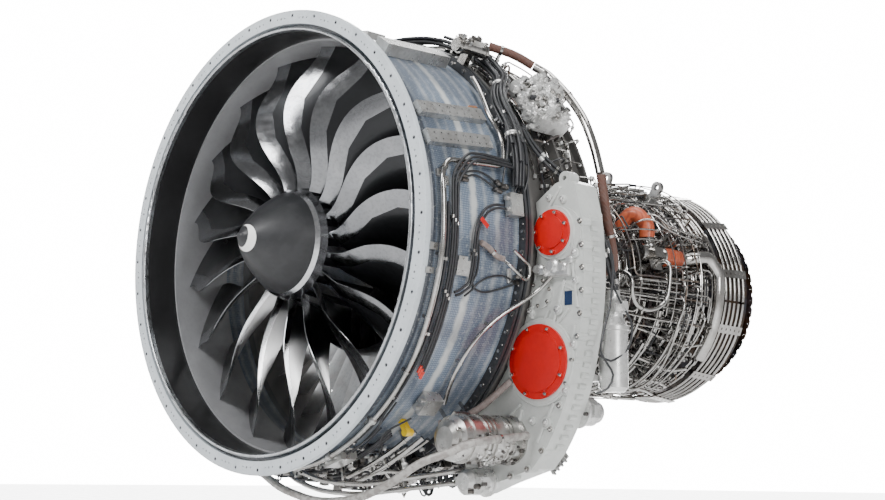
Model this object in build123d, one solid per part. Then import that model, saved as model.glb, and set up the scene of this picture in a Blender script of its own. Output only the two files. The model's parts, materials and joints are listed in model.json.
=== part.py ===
from build123d import *
import math
import os

# A geared turbofan engine. Sizes are in millimetres and angles in degrees. The engine axis is Y, the
# intake faces -Y, up is +Z, and the origin is on the axis in the front face of the intake flange.
# Angles about the axis are counted from +X towards +Z, counter-clockwise for someone facing the intake.

# Fits and clearances
SEAT_GAP = 0.3
CLAMP_GAP = 0.7
RUNNING_GAP = 0.05
TIP_GAP = 1.5
FACE_GAP = 6.0

# Intake and fan case
FLANGE_RADIUS = 1030.0
FLANGE_THICKNESS = 20.0
FLANGE_BORE = 968.0
FLANGE_NECK_LENGTH = 60.0
FLANGE_BOLT_CIRCLE = 1005.0
FLANGE_BOLT_COUNT = 40
FLANGE_BOLT_HOLE = 5.2
FLANGE_PIN_CIRCLE = 996.0
FLANGE_PIN_HOLE = 3.4
LIP_BORE = 937.0
LIP_WALL = 16.0
LIP_LENGTH = 18.0
LINER_WALL = 14.0
LINER_END = 170.0
RUB_STRIP_END = 480.0
FAN_CASE_RADIUS = 975.0
FAN_CASE_WALL = 24.0
FAN_CASE_END = 600.0
JOINT_RING_RADIUS = 1014.0
JOINT_RING_LENGTH = 36.0
JOINT_BOLT_COUNT = 72
REAR_CASE_RADIUS = 985.0
REAR_CASE_WALL = 12.0
REAR_CASE_END = 1060.0
REAR_FLANGE_RADIUS = 1016.0
PAD_FLANGE_RADIUS = 1046.0
FLANGE_PLATE = 14.0

# Fan
BLADE_COUNT = 18
BLADE_FIRST_ANGLE = -3.5
FAN_TIP_RADIUS = 927.0
BLADE_EDGE_THICKNESS = 2.6
SHEATH_WIDTH = 78.0
SPINNER_TIP = -142.0
SPINNER_BASE = 104.0
SPINNER_RADIUS = 227.0
SPINNER_WALL = 6.0
SPINNER_NOSE = 24.0
HUB_FRONT = 157.0
HUB_FRONT_RADIUS = 251.0
HUB_BACK = 440.0
HUB_BACK_RADIUS = 300.0
ROOT_WIDTH = 36.0
ROOT_FOOT_WIDTH = 50.0
ROOT_FOOT_RADIUS = 186.0
ROOT_NECK_RADIUS = 214.0
FAN_SHAFT_RADIUS = 110.0
FAN_SHAFT_BORE = 90.0
FAN_SHAFT_END = 600.0

# Each fan blade section, root to tip: radius, leading edge along the axis, lean of the leading edge
# ahead of the blade's centre line, chord, stagger, then thickness and camber as shares of the chord.
BLADE_SECTIONS = (
    (236.0, 160.0, 8.6, 284.0, 13.0, 0.100, 0.100),
    (390.0, 136.0, 12.2, 318.0, 28.0, 0.072, 0.070),
    (525.0, 114.0, 16.2, 350.0, 38.0, 0.052, 0.050),
    (660.0, 142.0, 16.6, 380.0, 47.0, 0.040, 0.034),
    (795.0, 209.0, 12.6, 398.0, 55.0, 0.032, 0.022),
    (930.0, 257.0, 10.2, 402.0, 61.0, 0.026, 0.014),
)

# Reduction gears
GEAR_MODULE = 4.5
SUN_TEETH = 32
STAR_TEETH = 33
RING_TEETH = 98
STAR_COUNT = 5
GEAR_FRONT = 640.0
GEAR_WIDTH = 80.0
GEAR_BACKLASH = 1.2
TOOTH_ADDENDUM = 3.5
TOOTH_DEDENDUM = 4.8
TOOTH_FLANK_ANGLE = 22.0
STAR_PIN_RADIUS = 40.0
RING_GEAR_RADIUS = 256.0
CARRIER_PILLAR_RADIUS = 12.0
CARRIER_PLATE = 12.0

# Core, outside walls
CORE_DUCT_RADIUS = 470.0
SPLITTER_NOSE = 558.0
SPLITTER_NOSE_RADIUS = 446.0
CORE_WALL = 9.0
LOW_CASE_FRONT = 640.0
LOW_CASE_BACK = 930.0
LOW_CASE_BORE = 440.0
LOW_CASE_EXIT_BORE = 402.0
FRAME_BACK = 1160.0
HIGH_CASE_BORE = 322.0
HIGH_CASE_EXIT_BORE = 292.0
HIGH_CASE_BACK = 1760.0
COMBUSTOR_CASE_BORE = 386.0
COMBUSTOR_CASE_BACK = 2240.0
HIGH_TURBINE_BORE = 398.0
HIGH_TURBINE_BACK = 2420.0
LOW_TURBINE_FRONT_BORE = 500.0
LOW_TURBINE_FRONT = 2560.0
LOW_TURBINE_BORE = 540.0
LOW_TURBINE_BACK = 2870.0
EXHAUST_END = 3042.0
EXHAUST_FLANGE_RADIUS = 508.0
EXHAUST_BORE = 468.0
EXHAUST_SCALLOPS = 48
EXHAUST_HUB_RADIUS = 250.0
EXHAUST_STRUTS = 13
CASE_FLANGE_HEIGHT = 24.0
CASE_FLANGE_PLATE = 12.0

# Spools
LOW_SHAFT_RADIUS = 40.0
HIGH_SHAFT_RADIUS = 75.0
HIGH_SHAFT_BORE = 60.0
BEARING_WIDTH = 26.0

# Fuel nozzles
NOZZLE_COUNT = 16
NOZZLE_PLACE = HIGH_CASE_BACK + 120.0

# Gearbox on the fan case
GEARBOX_FRONT = 700.0
GEARBOX_DEPTH = 140.0
GEARBOX_SEAT_RADIUS = 990.0
UPPER_PAD = (1088.0, -4.0)
UPPER_PAD_RADIUS = 112.0
UPPER_COVER_RADIUS = 98.0
LOWER_PAD = (1011.0, -545.0)
LOWER_PAD_RADIUS = 170.0
LOWER_COVER_RADIUS = 158.0
PAD_HEIGHT = 14.0
COVER_PLATE = 12.0
GENERATOR_CENTRE = (830.0, -870.0)
GENERATOR_RADIUS = 98.0
GENERATOR_LENGTH = 390.0
PUMP_CENTRE = (700.0, -1046.0)
PUMP_RADIUS = 56.0
PUMP_LENGTH = 150.0
GEARBOX_BOSSES = (
    (1236, 30), (1244, -70), (1247, -165), (1244, -260), (1233, -355), (1217, -450), (1190, -545),
    (1158, -640), (1118, -730), (1070, -825), (1022, -915), (940, -990), (845, -1020),
)
BLANK_PAD = (1012.0, -255.0)
BLANK_PAD_RADIUS = 48.0

# Mounts and bleed air
FRONT_MOUNT_ANGLE = 72.0
FRONT_MOUNT_CIRCLE = 640.0
REAR_MOUNT_ANGLE = 57.0
REAR_MOUNT_CIRCLE = 640.0
MOUNT_BORE = 15.0
BLEED_ANGLE = 15.0


# Shapes about the engine axis

def polar(radius, angle, along):
    """The point at a radius and an angle about the engine axis, a distance along it."""
    turn = math.radians(angle)
    return Vector(radius * math.cos(turn), along, radius * math.sin(turn))


def spun(shape, angle):
    """The shape turned about the engine axis."""
    return Rot(0, -angle, 0) * shape


def seated(shape, radius, angle, along):
    """A shape drawn with +Z outward and +Y aft, set at a radius and an angle about the axis."""
    return spun(Pos(0, along, radius) * shape, angle - 90)


def turned(*profile):
    """A solid of revolution about the engine axis, from (along, radius) points."""
    outline = Polyline(*[(radius, along) for along, radius in profile], close=True)
    return revolve(make_face(outline), Axis.Y, 360)


def ring(front, back, inner, outer):
    return turned((front, inner), (front, outer), (back, outer), (back, inner))


def rod(radius, front, back, centre=(0.0, 0.0)):
    """A cylinder along Y, between two places, about an (x, z) centre."""
    middle = Pos(centre[0], (front + back) / 2, centre[1])
    return middle * Rot(90, 0, 0) * Cylinder(radius, back - front)


def rods_around(count, circle, radius, front, back, first=0.0):
    """Equal cylinders along Y, evenly spaced on a circle about the engine axis."""
    step = 360.0 / count
    rods = []
    for number in range(count):
        place = polar(circle, first + number * step, 0)
        rods.append(rod(radius, front, back, (place.X, place.Z)))
    return rods


def block(width, length, height):
    """A box that stands on its origin: width along X, length along Y, height along +Z."""
    return Box(width, length, height, align=(Align.CENTER, Align.CENTER, Align.MIN))


def bedded(shape, ground):
    """The shape cut back to sit just off the round surface below it."""
    box = shape.bounding_box()
    return shape - rod(ground + SEAT_GAP, box.min.Y - 1, box.max.Y + 1)


def toothed_row(count, inner, outer, width, front, back):
    """Rotor blades as one row of radial plates, evenly spaced."""
    plate = Pos(0, (front + back) / 2, (inner + outer) / 2) * Box(width, back - front, outer - inner)
    return [spun(plate, number * 360.0 / count) for number in range(count)]


# Tubes

def bend_radii(points, tightest):
    """The radius of each bend: as large as its runs allow, or the tube's own at a sharp turn."""
    radii = []
    for before, corner, after in zip(points, points[1:], points[2:]):
        run_in = corner - before
        run_out = after - corner
        turn = run_in.get_angle(run_out)
        room = 0.45 * min(run_in.length, run_out.length) / math.tan(math.radians(turn / 2))
        radii.append(min(room, tightest) if turn > 35.0 else room)
    return radii


def tube(radius, tightest, *route):
    """A bent tube through (radius, angle, along) points about the engine axis."""
    points = [polar(*place) for place in route]
    path = FilletPolyline(*points, radius=bend_radii(points, tightest))
    start = Plane(origin=path @ 0, z_dir=path % 0)
    return sweep(start * Circle(radius), path=path)


def hoop(radius, along, pipe, start, span):
    """An arc of tube about the engine axis."""
    arc = revolve(Pos(radius, along) * Circle(pipe), Axis.Y, span)
    return spun(arc, start + span)


def held_hoop(radius, along, pipe, first, last, case, brackets):
    """An arc of tube on brackets that stand on the round case below it."""
    ground = case + SEAT_GAP
    bracket = block(14, 10, radius - ground)
    held = [seated(bracket, ground, angle, along) for angle in brackets if first < angle < last]
    return hoop(radius, along, pipe, first, last - first) + held


# Intake

def make_front_flange():
    """Attach ring: a drilled face with a neck that wraps the front of the fan case."""
    neck_radius = FLANGE_BORE + 10.0
    back = FLANGE_THICKNESS + FLANGE_NECK_LENGTH
    body = turned(
        (0, FLANGE_BORE), (0, FLANGE_RADIUS - 3), (3, FLANGE_RADIUS),
        (FLANGE_THICKNESS, FLANGE_RADIUS), (FLANGE_THICKNESS, neck_radius + 16),
        (FLANGE_THICKNESS + 14, neck_radius + 4), (back, neck_radius), (back, FLANGE_BORE),
    )
    bolts = rods_around(FLANGE_BOLT_COUNT, FLANGE_BOLT_CIRCLE, FLANGE_BOLT_HOLE, -1, FLANGE_THICKNESS + 1)
    pins = []
    for offset in (3.0, 6.0):
        pins += rods_around(
            FLANGE_BOLT_COUNT, FLANGE_PIN_CIRCLE, FLANGE_PIN_HOLE, -1, FLANGE_THICKNESS + 1, offset)
    return body - (bolts + pins)


def make_inlet_lip():
    """Rounded metal lip round the mouth of the intake."""
    middle = LIP_BORE + LIP_WALL / 2
    arc = ThreePointArc((LIP_BORE, 0), (middle, -LIP_WALL / 2), (LIP_BORE + LIP_WALL, 0))
    sides = Polyline((LIP_BORE + LIP_WALL, 0), (LIP_BORE + LIP_WALL, LIP_LENGTH), (LIP_BORE, LIP_LENGTH),
                     (LIP_BORE, 0))
    return revolve(make_face([arc, sides]), Axis.Y, 360)


def make_acoustic_liner():
    return ring(LIP_LENGTH, LINER_END, LIP_BORE, LIP_BORE + LINER_WALL - SEAT_GAP)


def make_rub_strip():
    """Abradable lining that the blade tips run in."""
    bore = FAN_TIP_RADIUS + TIP_GAP
    return ring(LINER_END, RUB_STRIP_END, bore, LIP_BORE + LINER_WALL - SEAT_GAP)


def make_fan_case():
    """Composite barrel, thickest over the blade tips."""
    bore = FAN_CASE_RADIUS - FAN_CASE_WALL
    under_neck = FLANGE_BORE - SEAT_GAP
    neck_end = FLANGE_THICKNESS + FLANGE_NECK_LENGTH + SEAT_GAP
    return turned(
        (LIP_LENGTH + 6, bore), (LIP_LENGTH + 6, under_neck), (neck_end, under_neck),
        (neck_end + 16, FAN_CASE_RADIUS), (FAN_CASE_END, FAN_CASE_RADIUS), (FAN_CASE_END, bore),
    )


def make_joint_ring():
    """Bolted joint between the composite barrel and the case behind it."""
    bore = FAN_CASE_RADIUS - FAN_CASE_WALL
    front = FAN_CASE_END
    body = turned(
        (front, bore), (front, JOINT_RING_RADIUS), (front + JOINT_RING_LENGTH, JOINT_RING_RADIUS),
        (front + JOINT_RING_LENGTH, bore),
    )
    groove_front = front + FLANGE_PLATE
    groove_back = front + JOINT_RING_LENGTH - FLANGE_PLATE
    return body - ring(groove_front, groove_back, REAR_CASE_RADIUS, JOINT_RING_RADIUS + 5)


def make_intermediate_case():
    """Outer barrel behind the fan, with the flange that carries the gearbox and an end flange."""
    front = FAN_CASE_END + JOINT_RING_LENGTH
    bore = REAR_CASE_RADIUS - REAR_CASE_WALL
    pad_front = GEARBOX_FRONT + GEARBOX_DEPTH
    return turned(
        (front, bore), (front, JOINT_RING_RADIUS), (front + FLANGE_PLATE, JOINT_RING_RADIUS),
        (front + FLANGE_PLATE, REAR_CASE_RADIUS), (pad_front, REAR_CASE_RADIUS),
        (pad_front, PAD_FLANGE_RADIUS), (pad_front + FLANGE_PLATE, PAD_FLANGE_RADIUS),
        (pad_front + FLANGE_PLATE, REAR_CASE_RADIUS), (REAR_CASE_END - FLANGE_PLATE, REAR_CASE_RADIUS),
        (REAR_CASE_END - FLANGE_PLATE, REAR_FLANGE_RADIUS), (REAR_CASE_END, REAR_FLANGE_RADIUS),
        (REAR_CASE_END, bore),
    )


# Fan

def camber_point(section, share):
    """A point of a blade section's mean line, and the direction its suction side faces."""
    radius, edge, lean, chord, stagger, _, camber = section
    turn = math.radians(stagger)
    side = Vector(math.cos(turn), -math.sin(turn))
    along = Vector(math.sin(turn), math.cos(turn))
    front = Vector(-radius * math.tan(math.radians(lean)), edge)
    bulge = 4 * camber * chord * share * (1 - share)
    return front + along * (share * chord) + side * bulge, side


def blade_outline(section):
    """Closed aerofoil of a blade section, in the plane of its radius at 12 o'clock."""
    chord = section[3]
    thickness = section[5]
    suction = []
    pressure = []
    for share in (0.0, 0.08, 0.25, 0.45, 0.7, 1.0):
        point, side = camber_point(section, share)
        half = BLADE_EDGE_THICKNESS / 2 + 0.5 * thickness * chord * math.sin(math.pi * share ** 0.8)
        suction.append(point + side * half)
        pressure.append(point - side * half)
    edges = [
        Spline(*suction),
        Line(suction[-1], pressure[-1]),
        Spline(*pressure),
        Line(suction[0], pressure[0]),
    ]
    return Pos(0, 0, section[0]) * make_face(edges)


def sheath_outline(section):
    """Outline, wider than the blade, of the part of a section that the metal edge takes up."""
    reach = 0.4 * section[3]
    share = SHEATH_WIDTH / section[3]
    ahead, side = camber_point(section, -0.08)
    behind, _ = camber_point(section, share)
    corners = (ahead + side * reach, behind + side * reach, behind - side * reach, ahead - side * reach)
    return Pos(0, 0, section[0]) * make_face(Polyline(*corners, close=True))


def root_block(grow=0.0):
    """Dovetail foot of a blade, or with grow its slot in the hub."""
    wide = ROOT_FOOT_WIDTH / 2 + grow
    narrow = ROOT_WIDTH / 2 + grow
    bottom = ROOT_FOOT_RADIUS - grow
    top = HUB_BACK_RADIUS + 20 * grow
    foot_top = (ROOT_FOOT_RADIUS + ROOT_NECK_RADIUS) / 2
    profile = Polyline(
        (-wide, bottom), (wide, bottom), (wide, foot_top), (narrow, ROOT_NECK_RADIUS), (narrow, top),
        (-narrow, top), (-narrow, ROOT_NECK_RADIUS), (-wide, foot_top), close=True)
    front = Plane(origin=(0, HUB_BACK, 0), x_dir=(1, 0, 0), z_dir=(0, -1, 0))
    return extrude(front * make_face(profile), HUB_BACK - HUB_FRONT)


def hub_cone(grow):
    """The hub's outside, drawn past both ends, with its surface moved outward by grow."""
    slope = (HUB_BACK_RADIUS - HUB_FRONT_RADIUS) / (HUB_BACK - HUB_FRONT)
    reach = 60.0
    return turned(
        (HUB_FRONT - reach, 0), (HUB_FRONT - reach, HUB_FRONT_RADIUS - slope * reach + grow),
        (HUB_BACK + reach, HUB_BACK_RADIUS + slope * reach + grow), (HUB_BACK + reach, 0))


def make_blade():
    """One fan blade at 12 o'clock, as its body with the root and its bonded metal edge."""
    aerofoil = loft([blade_outline(section) for section in BLADE_SECTIONS])
    front_part = loft([sheath_outline(section) for section in BLADE_SECTIONS], ruled=True)
    aerofoil = aerofoil & rod(FAN_TIP_RADIUS, HUB_FRONT - 100, HUB_BACK + 100)
    aerofoil = aerofoil - hub_cone(SEAT_GAP)
    root = root_block() & hub_cone(3.0)
    edge = aerofoil & front_part
    body = (aerofoil - front_part) + (root - front_part)
    return body, edge


def make_spinner():
    """Hollow cone with a rounded nose."""
    wall = SPINNER_WALL
    nose_back = SPINNER_TIP + 0.55 * SPINNER_NOSE
    shoulder = 0.92 * SPINNER_NOSE
    middle = ((shoulder + SPINNER_RADIUS) / 2 + 15.0, (nose_back + SPINNER_BASE) / 2 - 9.0)
    outside = [
        Spline((0, SPINNER_TIP), (0.6 * SPINNER_NOSE, SPINNER_TIP + 0.17 * SPINNER_NOSE),
               (shoulder, nose_back), tangents=((1, 0), (0.55, 1))),
        ThreePointArc((shoulder, nose_back), middle, (SPINNER_RADIUS, SPINNER_BASE)),
    ]
    inner_middle = (middle[0] - 0.7 * wall, middle[1] + 0.7 * wall)
    inside = [
        Line((SPINNER_RADIUS, SPINNER_BASE), (SPINNER_RADIUS - 3 * wall, SPINNER_BASE)),
        Line((SPINNER_RADIUS - 3 * wall, SPINNER_BASE), (SPINNER_RADIUS - 3 * wall, SPINNER_BASE - 2 * wall)),
        ThreePointArc((SPINNER_RADIUS - 3 * wall, SPINNER_BASE - 2 * wall), inner_middle,
                      (shoulder - wall, nose_back + 2 * wall)),
        Line((shoulder - wall, nose_back + 2 * wall), (0, nose_back + 2 * wall)),
        Line((0, nose_back + 2 * wall), (0, SPINNER_TIP)),
    ]
    return revolve(make_face(outside + inside), Axis.Y, 360)


def make_nose_ring():
    """Metal ring between the cone and the blades, with one facet for each blade gap."""
    body = turned(
        (SPINNER_BASE, 190), (SPINNER_BASE, SPINNER_RADIUS), (SPINNER_BASE + 18, 240),
        (HUB_FRONT, HUB_FRONT_RADIUS), (HUB_FRONT, 210))
    facet = Pos(0, HUB_FRONT - 20, HUB_FRONT_RADIUS + 5) * Rot(16, 0, 0) * Box(60, 60, 20)
    facets = [spun(facet, BLADE_FIRST_ANGLE + 10 + number * 360.0 / BLADE_COUNT)
              for number in range(BLADE_COUNT)]
    return body - facets


def make_fan_hub():
    """Slotted fan disc and the hollow shaft behind it."""
    body = turned(
        (HUB_FRONT, 150), (HUB_FRONT, HUB_FRONT_RADIUS), (HUB_BACK, HUB_BACK_RADIUS),
        (HUB_BACK, 270), (HUB_BACK - 30, 168), (HUB_BACK, FAN_SHAFT_RADIUS + 12),
        (HUB_BACK + 20, FAN_SHAFT_RADIUS), (FAN_SHAFT_END, FAN_SHAFT_RADIUS),
        (FAN_SHAFT_END, FAN_SHAFT_BORE), (HUB_BACK - 20, FAN_SHAFT_BORE), (HUB_FRONT + 120, 130))
    slots = [spun(root_block(SEAT_GAP), BLADE_FIRST_ANGLE - 90 + number * 360.0 / BLADE_COUNT)
             for number in range(BLADE_COUNT)]
    return body - slots


# Reduction gears

def gear_outline(teeth, phase, inward=False):
    """Toothed outline with straight flanks; phase is the angle of one tooth's centre."""
    pitch_radius = GEAR_MODULE * teeth / 2
    half_tooth = (math.pi * GEAR_MODULE / 2 - GEAR_BACKLASH / 2) / 2
    slope = math.tan(math.radians(TOOTH_FLANK_ANGLE))
    outward = -1 if inward else 1
    tip_radius = pitch_radius + outward * TOOTH_ADDENDUM
    root_radius = pitch_radius - outward * TOOTH_DEDENDUM
    half_tip = half_tooth - slope * TOOTH_ADDENDUM
    half_root = half_tooth + slope * TOOTH_DEDENDUM
    points = []
    for number in range(teeth):
        centre = math.radians(phase + number * 360.0 / teeth)
        for radius, half in ((root_radius, -half_root), (tip_radius, -half_tip), (tip_radius, half_tip),
                             (root_radius, half_root)):
            angle = centre + half / radius
            points.append((radius * math.cos(angle), radius * math.sin(angle)))
    return make_face(Polyline(*points, close=True))


def gear_prism(outline, centre=(0.0, 0.0)):
    """A gear outline given in (x, z), drawn out along the axis over the gears' width."""
    plane = Plane(origin=(centre[0], GEAR_FRONT + GEAR_WIDTH, centre[1]), x_dir=(1, 0, 0), z_dir=(0, -1, 0))
    return extrude(plane * outline, GEAR_WIDTH)


def star_circle():
    return GEAR_MODULE * (SUN_TEETH + STAR_TEETH) / 2


def star_angle(number):
    return 90.0 + number * 360.0 / STAR_COUNT


def star_centre(number):
    place = polar(star_circle(), star_angle(number), 0)
    return place.X, place.Z


def make_sun_gear():
    body = gear_prism(gear_outline(SUN_TEETH, 90.0))
    return body - rod(LOW_SHAFT_RADIUS + RUNNING_GAP, GEAR_FRONT - 1, GEAR_FRONT + GEAR_WIDTH + 1)


def make_star_gear(number):
    """A star gear turned so that its teeth meet both the sun's and the ring's."""
    angle = star_angle(number)
    sun_pitch = 360.0 / SUN_TEETH
    past_tooth = (angle - 90.0) % sun_pitch
    ahead = -past_tooth if past_tooth < sun_pitch / 2 else sun_pitch - past_tooth
    gap_angle = angle + 180.0 - ahead * SUN_TEETH / STAR_TEETH
    phase = gap_angle + 180.0 / STAR_TEETH
    centre = star_centre(number)
    body = gear_prism(gear_outline(STAR_TEETH, phase), centre)
    bore = rod(STAR_PIN_RADIUS + RUNNING_GAP, GEAR_FRONT - 1, GEAR_FRONT + GEAR_WIDTH + 1, centre)
    return body - bore


def make_ring_gear():
    """Ring gear and the drum that carries it from the fan shaft."""
    phase = 90.0 + 180.0 / RING_TEETH
    blank = rod(RING_GEAR_RADIUS, GEAR_FRONT, GEAR_FRONT + GEAR_WIDTH)
    toothed = blank - gear_prism(gear_outline(RING_TEETH, phase, inward=True))
    wall = 10.0
    plate_back = FAN_SHAFT_END + wall
    drum = turned(
        (FAN_SHAFT_END, FAN_SHAFT_BORE), (FAN_SHAFT_END, RING_GEAR_RADIUS),
        (GEAR_FRONT, RING_GEAR_RADIUS), (GEAR_FRONT, RING_GEAR_RADIUS - wall),
        (plate_back, RING_GEAR_RADIUS - wall), (plate_back, FAN_SHAFT_BORE))
    return drum + toothed


def make_gear_carrier():
    """Fixed cage of the star gears: two plates, a journal for each star and pillars between them."""
    front_plate_back = GEAR_FRONT - FACE_GAP
    front_plate_front = front_plate_back - CARRIER_PLATE
    back_plate_front = GEAR_FRONT + GEAR_WIDTH + FACE_GAP
    back_plate_back = back_plate_front + CARRIER_PLATE
    outer = RING_GEAR_RADIUS - 45
    body = ring(front_plate_front, front_plate_back, LOW_SHAFT_RADIUS + 15, outer)
    body += ring(back_plate_front, back_plate_back, LOW_SHAFT_RADIUS + 15, RING_GEAR_RADIUS + 8 - SEAT_GAP)
    for number in range(STAR_COUNT):
        body += rod(STAR_PIN_RADIUS, front_plate_back, back_plate_front, star_centre(number))
        pillar = polar(RING_GEAR_RADIUS - 60, star_angle(number) + 180.0 / STAR_COUNT, 0)
        body += rod(CARRIER_PILLAR_RADIUS, front_plate_back, back_plate_front, (pillar.X, pillar.Z))
    return body


def make_bearing_support():
    """Static hub: duct wall with the core's inlet struts, a drum round the gears and bearing seats."""
    wall = 8.0
    inner = RING_GEAR_RADIUS + 8
    back = GEAR_FRONT + GEAR_WIDTH + FACE_GAP + CARRIER_PLATE + wall
    seat = FAN_SHAFT_RADIUS + 18
    duct = HUB_BACK_RADIUS - 2
    drum = turned(
        (HUB_BACK + 35, seat + SEAT_GAP), (HUB_BACK + 35, seat + wall), (HUB_BACK + 95, seat + 2 * wall),
        (FAN_SHAFT_END - 30, inner + wall), (back, inner + wall), (back, LOW_SHAFT_RADIUS + 30),
        (back - wall, LOW_SHAFT_RADIUS + 30), (back - wall, inner), (FAN_SHAFT_END - 30 + wall, inner),
        (HUB_BACK + 100, seat + SEAT_GAP))
    skin = turned(
        (HUB_BACK + 6, duct - wall), (HUB_BACK + 6, duct), (LOW_CASE_FRONT, duct - 1),
        (LOW_CASE_FRONT, duct - wall), (LOW_CASE_FRONT - 10, duct - wall), (LOW_CASE_FRONT - 20, inner + 2),
        (LOW_CASE_FRONT - 40, inner + 2), (LOW_CASE_FRONT - 30, duct - wall))
    strut = Pos(0, LOW_CASE_FRONT - 42, (duct + LOW_CASE_BORE) / 2) * Box(8, 52, LOW_CASE_BORE - duct + 12)
    struts = [spun(strut, number * 15.0) for number in range(24)]
    bore = rod(LOW_CASE_BORE - SEAT_GAP, LOW_CASE_FRONT - 80, LOW_CASE_FRONT)
    return drum + skin + [one & bore for one in struts]


def make_fan_bearings():
    """The two bearings of the fan shaft."""
    seat = FAN_SHAFT_RADIUS + 18
    front = ring(HUB_BACK + 38, HUB_BACK + 38 + BEARING_WIDTH, FAN_SHAFT_RADIUS + RUNNING_GAP, seat)
    back = ring(HUB_BACK + 70, HUB_BACK + 70 + BEARING_WIDTH, FAN_SHAFT_RADIUS + RUNNING_GAP, seat)
    return [front, back]


# Core, outside walls

def make_core_splitter():
    """Lip that parts the core's air from the bypass air, and the bypass duct's inner wall."""
    back = REAR_CASE_END
    nose = SPLITTER_NOSE_RADIUS
    inner_nose = ThreePointArc((nose, SPLITTER_NOSE), (LOW_CASE_BORE + 2.4, SPLITTER_NOSE + 32),
                               (LOW_CASE_BORE, LOW_CASE_FRONT))
    outer_nose = ThreePointArc((nose, SPLITTER_NOSE), (nose + 14, SPLITTER_NOSE + 30),
                               (CORE_DUCT_RADIUS, LOW_CASE_FRONT))
    walls = Polyline(
        (LOW_CASE_BORE, LOW_CASE_FRONT), (CORE_DUCT_RADIUS - 12, LOW_CASE_FRONT),
        (CORE_DUCT_RADIUS - 12, back), (CORE_DUCT_RADIUS, back), (CORE_DUCT_RADIUS, LOW_CASE_FRONT))
    return revolve(make_face([inner_nose, outer_nose, walls]), Axis.Y, 360)


def make_guide_vanes():
    """Fan exit guide vanes between the bypass duct's walls, curved and set at an angle."""
    count = 44
    chord = 150.0
    thickness = 8.0
    front = 742.0
    stagger = 14.0
    bulge = 12.0
    outer_arc = ThreePointArc((0, 0), (bulge + thickness / 2, chord / 2), (0, chord))
    inner_arc = ThreePointArc((0, 0), (bulge - thickness / 2, chord / 2), (0, chord))
    profile = Rot(0, 0, -stagger) * make_face([outer_arc, inner_arc])
    height = REAR_CASE_RADIUS - CORE_DUCT_RADIUS
    vane = extrude(Pos(0, front, CORE_DUCT_RADIUS - 20) * profile, height + 40, dir=(0, 0, 1))
    duct = ring(front - 60, front + chord + 60, CORE_DUCT_RADIUS + SEAT_GAP,
                REAR_CASE_RADIUS - REAR_CASE_WALL - SEAT_GAP)
    vane = vane & duct
    return [spun(vane, number * 360.0 / count) for number in range(count)]


def flange(front, bore):
    """Bolting flange of a core case."""
    return ring(front, front + CASE_FLANGE_PLATE, bore, bore + CASE_FLANGE_HEIGHT + CORE_WALL)


def shell(*stations):
    """Core case wall from (along, bore) stations."""
    inside = [(along, bore) for along, bore in stations]
    outside = [(along, bore + CORE_WALL) for along, bore in reversed(stations)]
    return turned(*inside, *outside)


def make_low_compressor_case():
    body = shell((LOW_CASE_FRONT, LOW_CASE_BORE), (LOW_CASE_BACK, LOW_CASE_EXIT_BORE))
    front = ring(LOW_CASE_FRONT, LOW_CASE_FRONT + 10, LOW_CASE_BORE, CORE_DUCT_RADIUS - 12 - SEAT_GAP)
    back = ring(LOW_CASE_BACK - 10, LOW_CASE_BACK, LOW_CASE_EXIT_BORE, CORE_DUCT_RADIUS - 12 - SEAT_GAP)
    return body + front + back


def make_core_frame():
    """Frame between the compressors: swan-neck duct, struts and the hub with two bearing seats."""
    outer = turned(
        (LOW_CASE_BACK, LOW_CASE_EXIT_BORE), (LOW_CASE_BACK, CORE_DUCT_RADIUS - 12 - SEAT_GAP),
        (LOW_CASE_BACK + 12, CORE_DUCT_RADIUS - 12 - SEAT_GAP), (LOW_CASE_BACK + 30, 418),
        (REAR_CASE_END, 372), (REAR_CASE_END, CORE_DUCT_RADIUS + 34),
        (REAR_CASE_END + FLANGE_PLATE, CORE_DUCT_RADIUS + 34), (REAR_CASE_END + FLANGE_PLATE, 362),
        (FRAME_BACK, HIGH_CASE_BORE + 33), (FRAME_BACK, HIGH_CASE_BORE))
    inner = turned(
        (LOW_CASE_BACK, 285), (FRAME_BACK, 212), (FRAME_BACK, 200), (FRAME_BACK - 60, 214),
        (LOW_CASE_BACK + 70, 240), (LOW_CASE_BACK + 60, 70), (LOW_CASE_BACK + 75, 70),
        (LOW_CASE_BACK + 75, LOW_SHAFT_RADIUS + RUNNING_GAP),
        (LOW_CASE_BACK + 45, LOW_SHAFT_RADIUS + RUNNING_GAP),
        (LOW_CASE_BACK + 45, 90), (LOW_CASE_BACK + 50, 250), (LOW_CASE_BACK, 270))
    seat_front = FRAME_BACK - 75
    seat = turned(
        (seat_front, HIGH_SHAFT_RADIUS + RUNNING_GAP), (seat_front, 96), (FRAME_BACK - 50, 222),
        (FRAME_BACK - 40, 222), (seat_front + BEARING_WIDTH, 96),
        (seat_front + BEARING_WIDTH, HIGH_SHAFT_RADIUS + RUNNING_GAP))
    strut = Pos(0, LOW_CASE_BACK + 95, 318) * Box(16, 90, 160)
    struts = [spun(strut, 10 + number * 45.0) for number in range(8)]
    return outer + inner + seat + struts


def high_case_radius(along):
    """Outside radius of the tapered compressor case at a place along the axis."""
    taper = (HIGH_CASE_BORE - HIGH_CASE_EXIT_BORE) / (HIGH_CASE_BACK - FRAME_BACK)
    return HIGH_CASE_BORE + CORE_WALL - taper * (along - FRAME_BACK)


def make_high_compressor_case():
    body = shell((FRAME_BACK, HIGH_CASE_BORE), (HIGH_CASE_BACK, HIGH_CASE_EXIT_BORE))
    body += flange(FRAME_BACK, HIGH_CASE_BORE)
    body += flange(HIGH_CASE_BACK - CASE_FLANGE_PLATE, HIGH_CASE_EXIT_BORE)
    middle = (FRAME_BACK + HIGH_CASE_BACK) / 2 + 120
    body += ring(middle, middle + 16, 305, 345)
    return body


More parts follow.
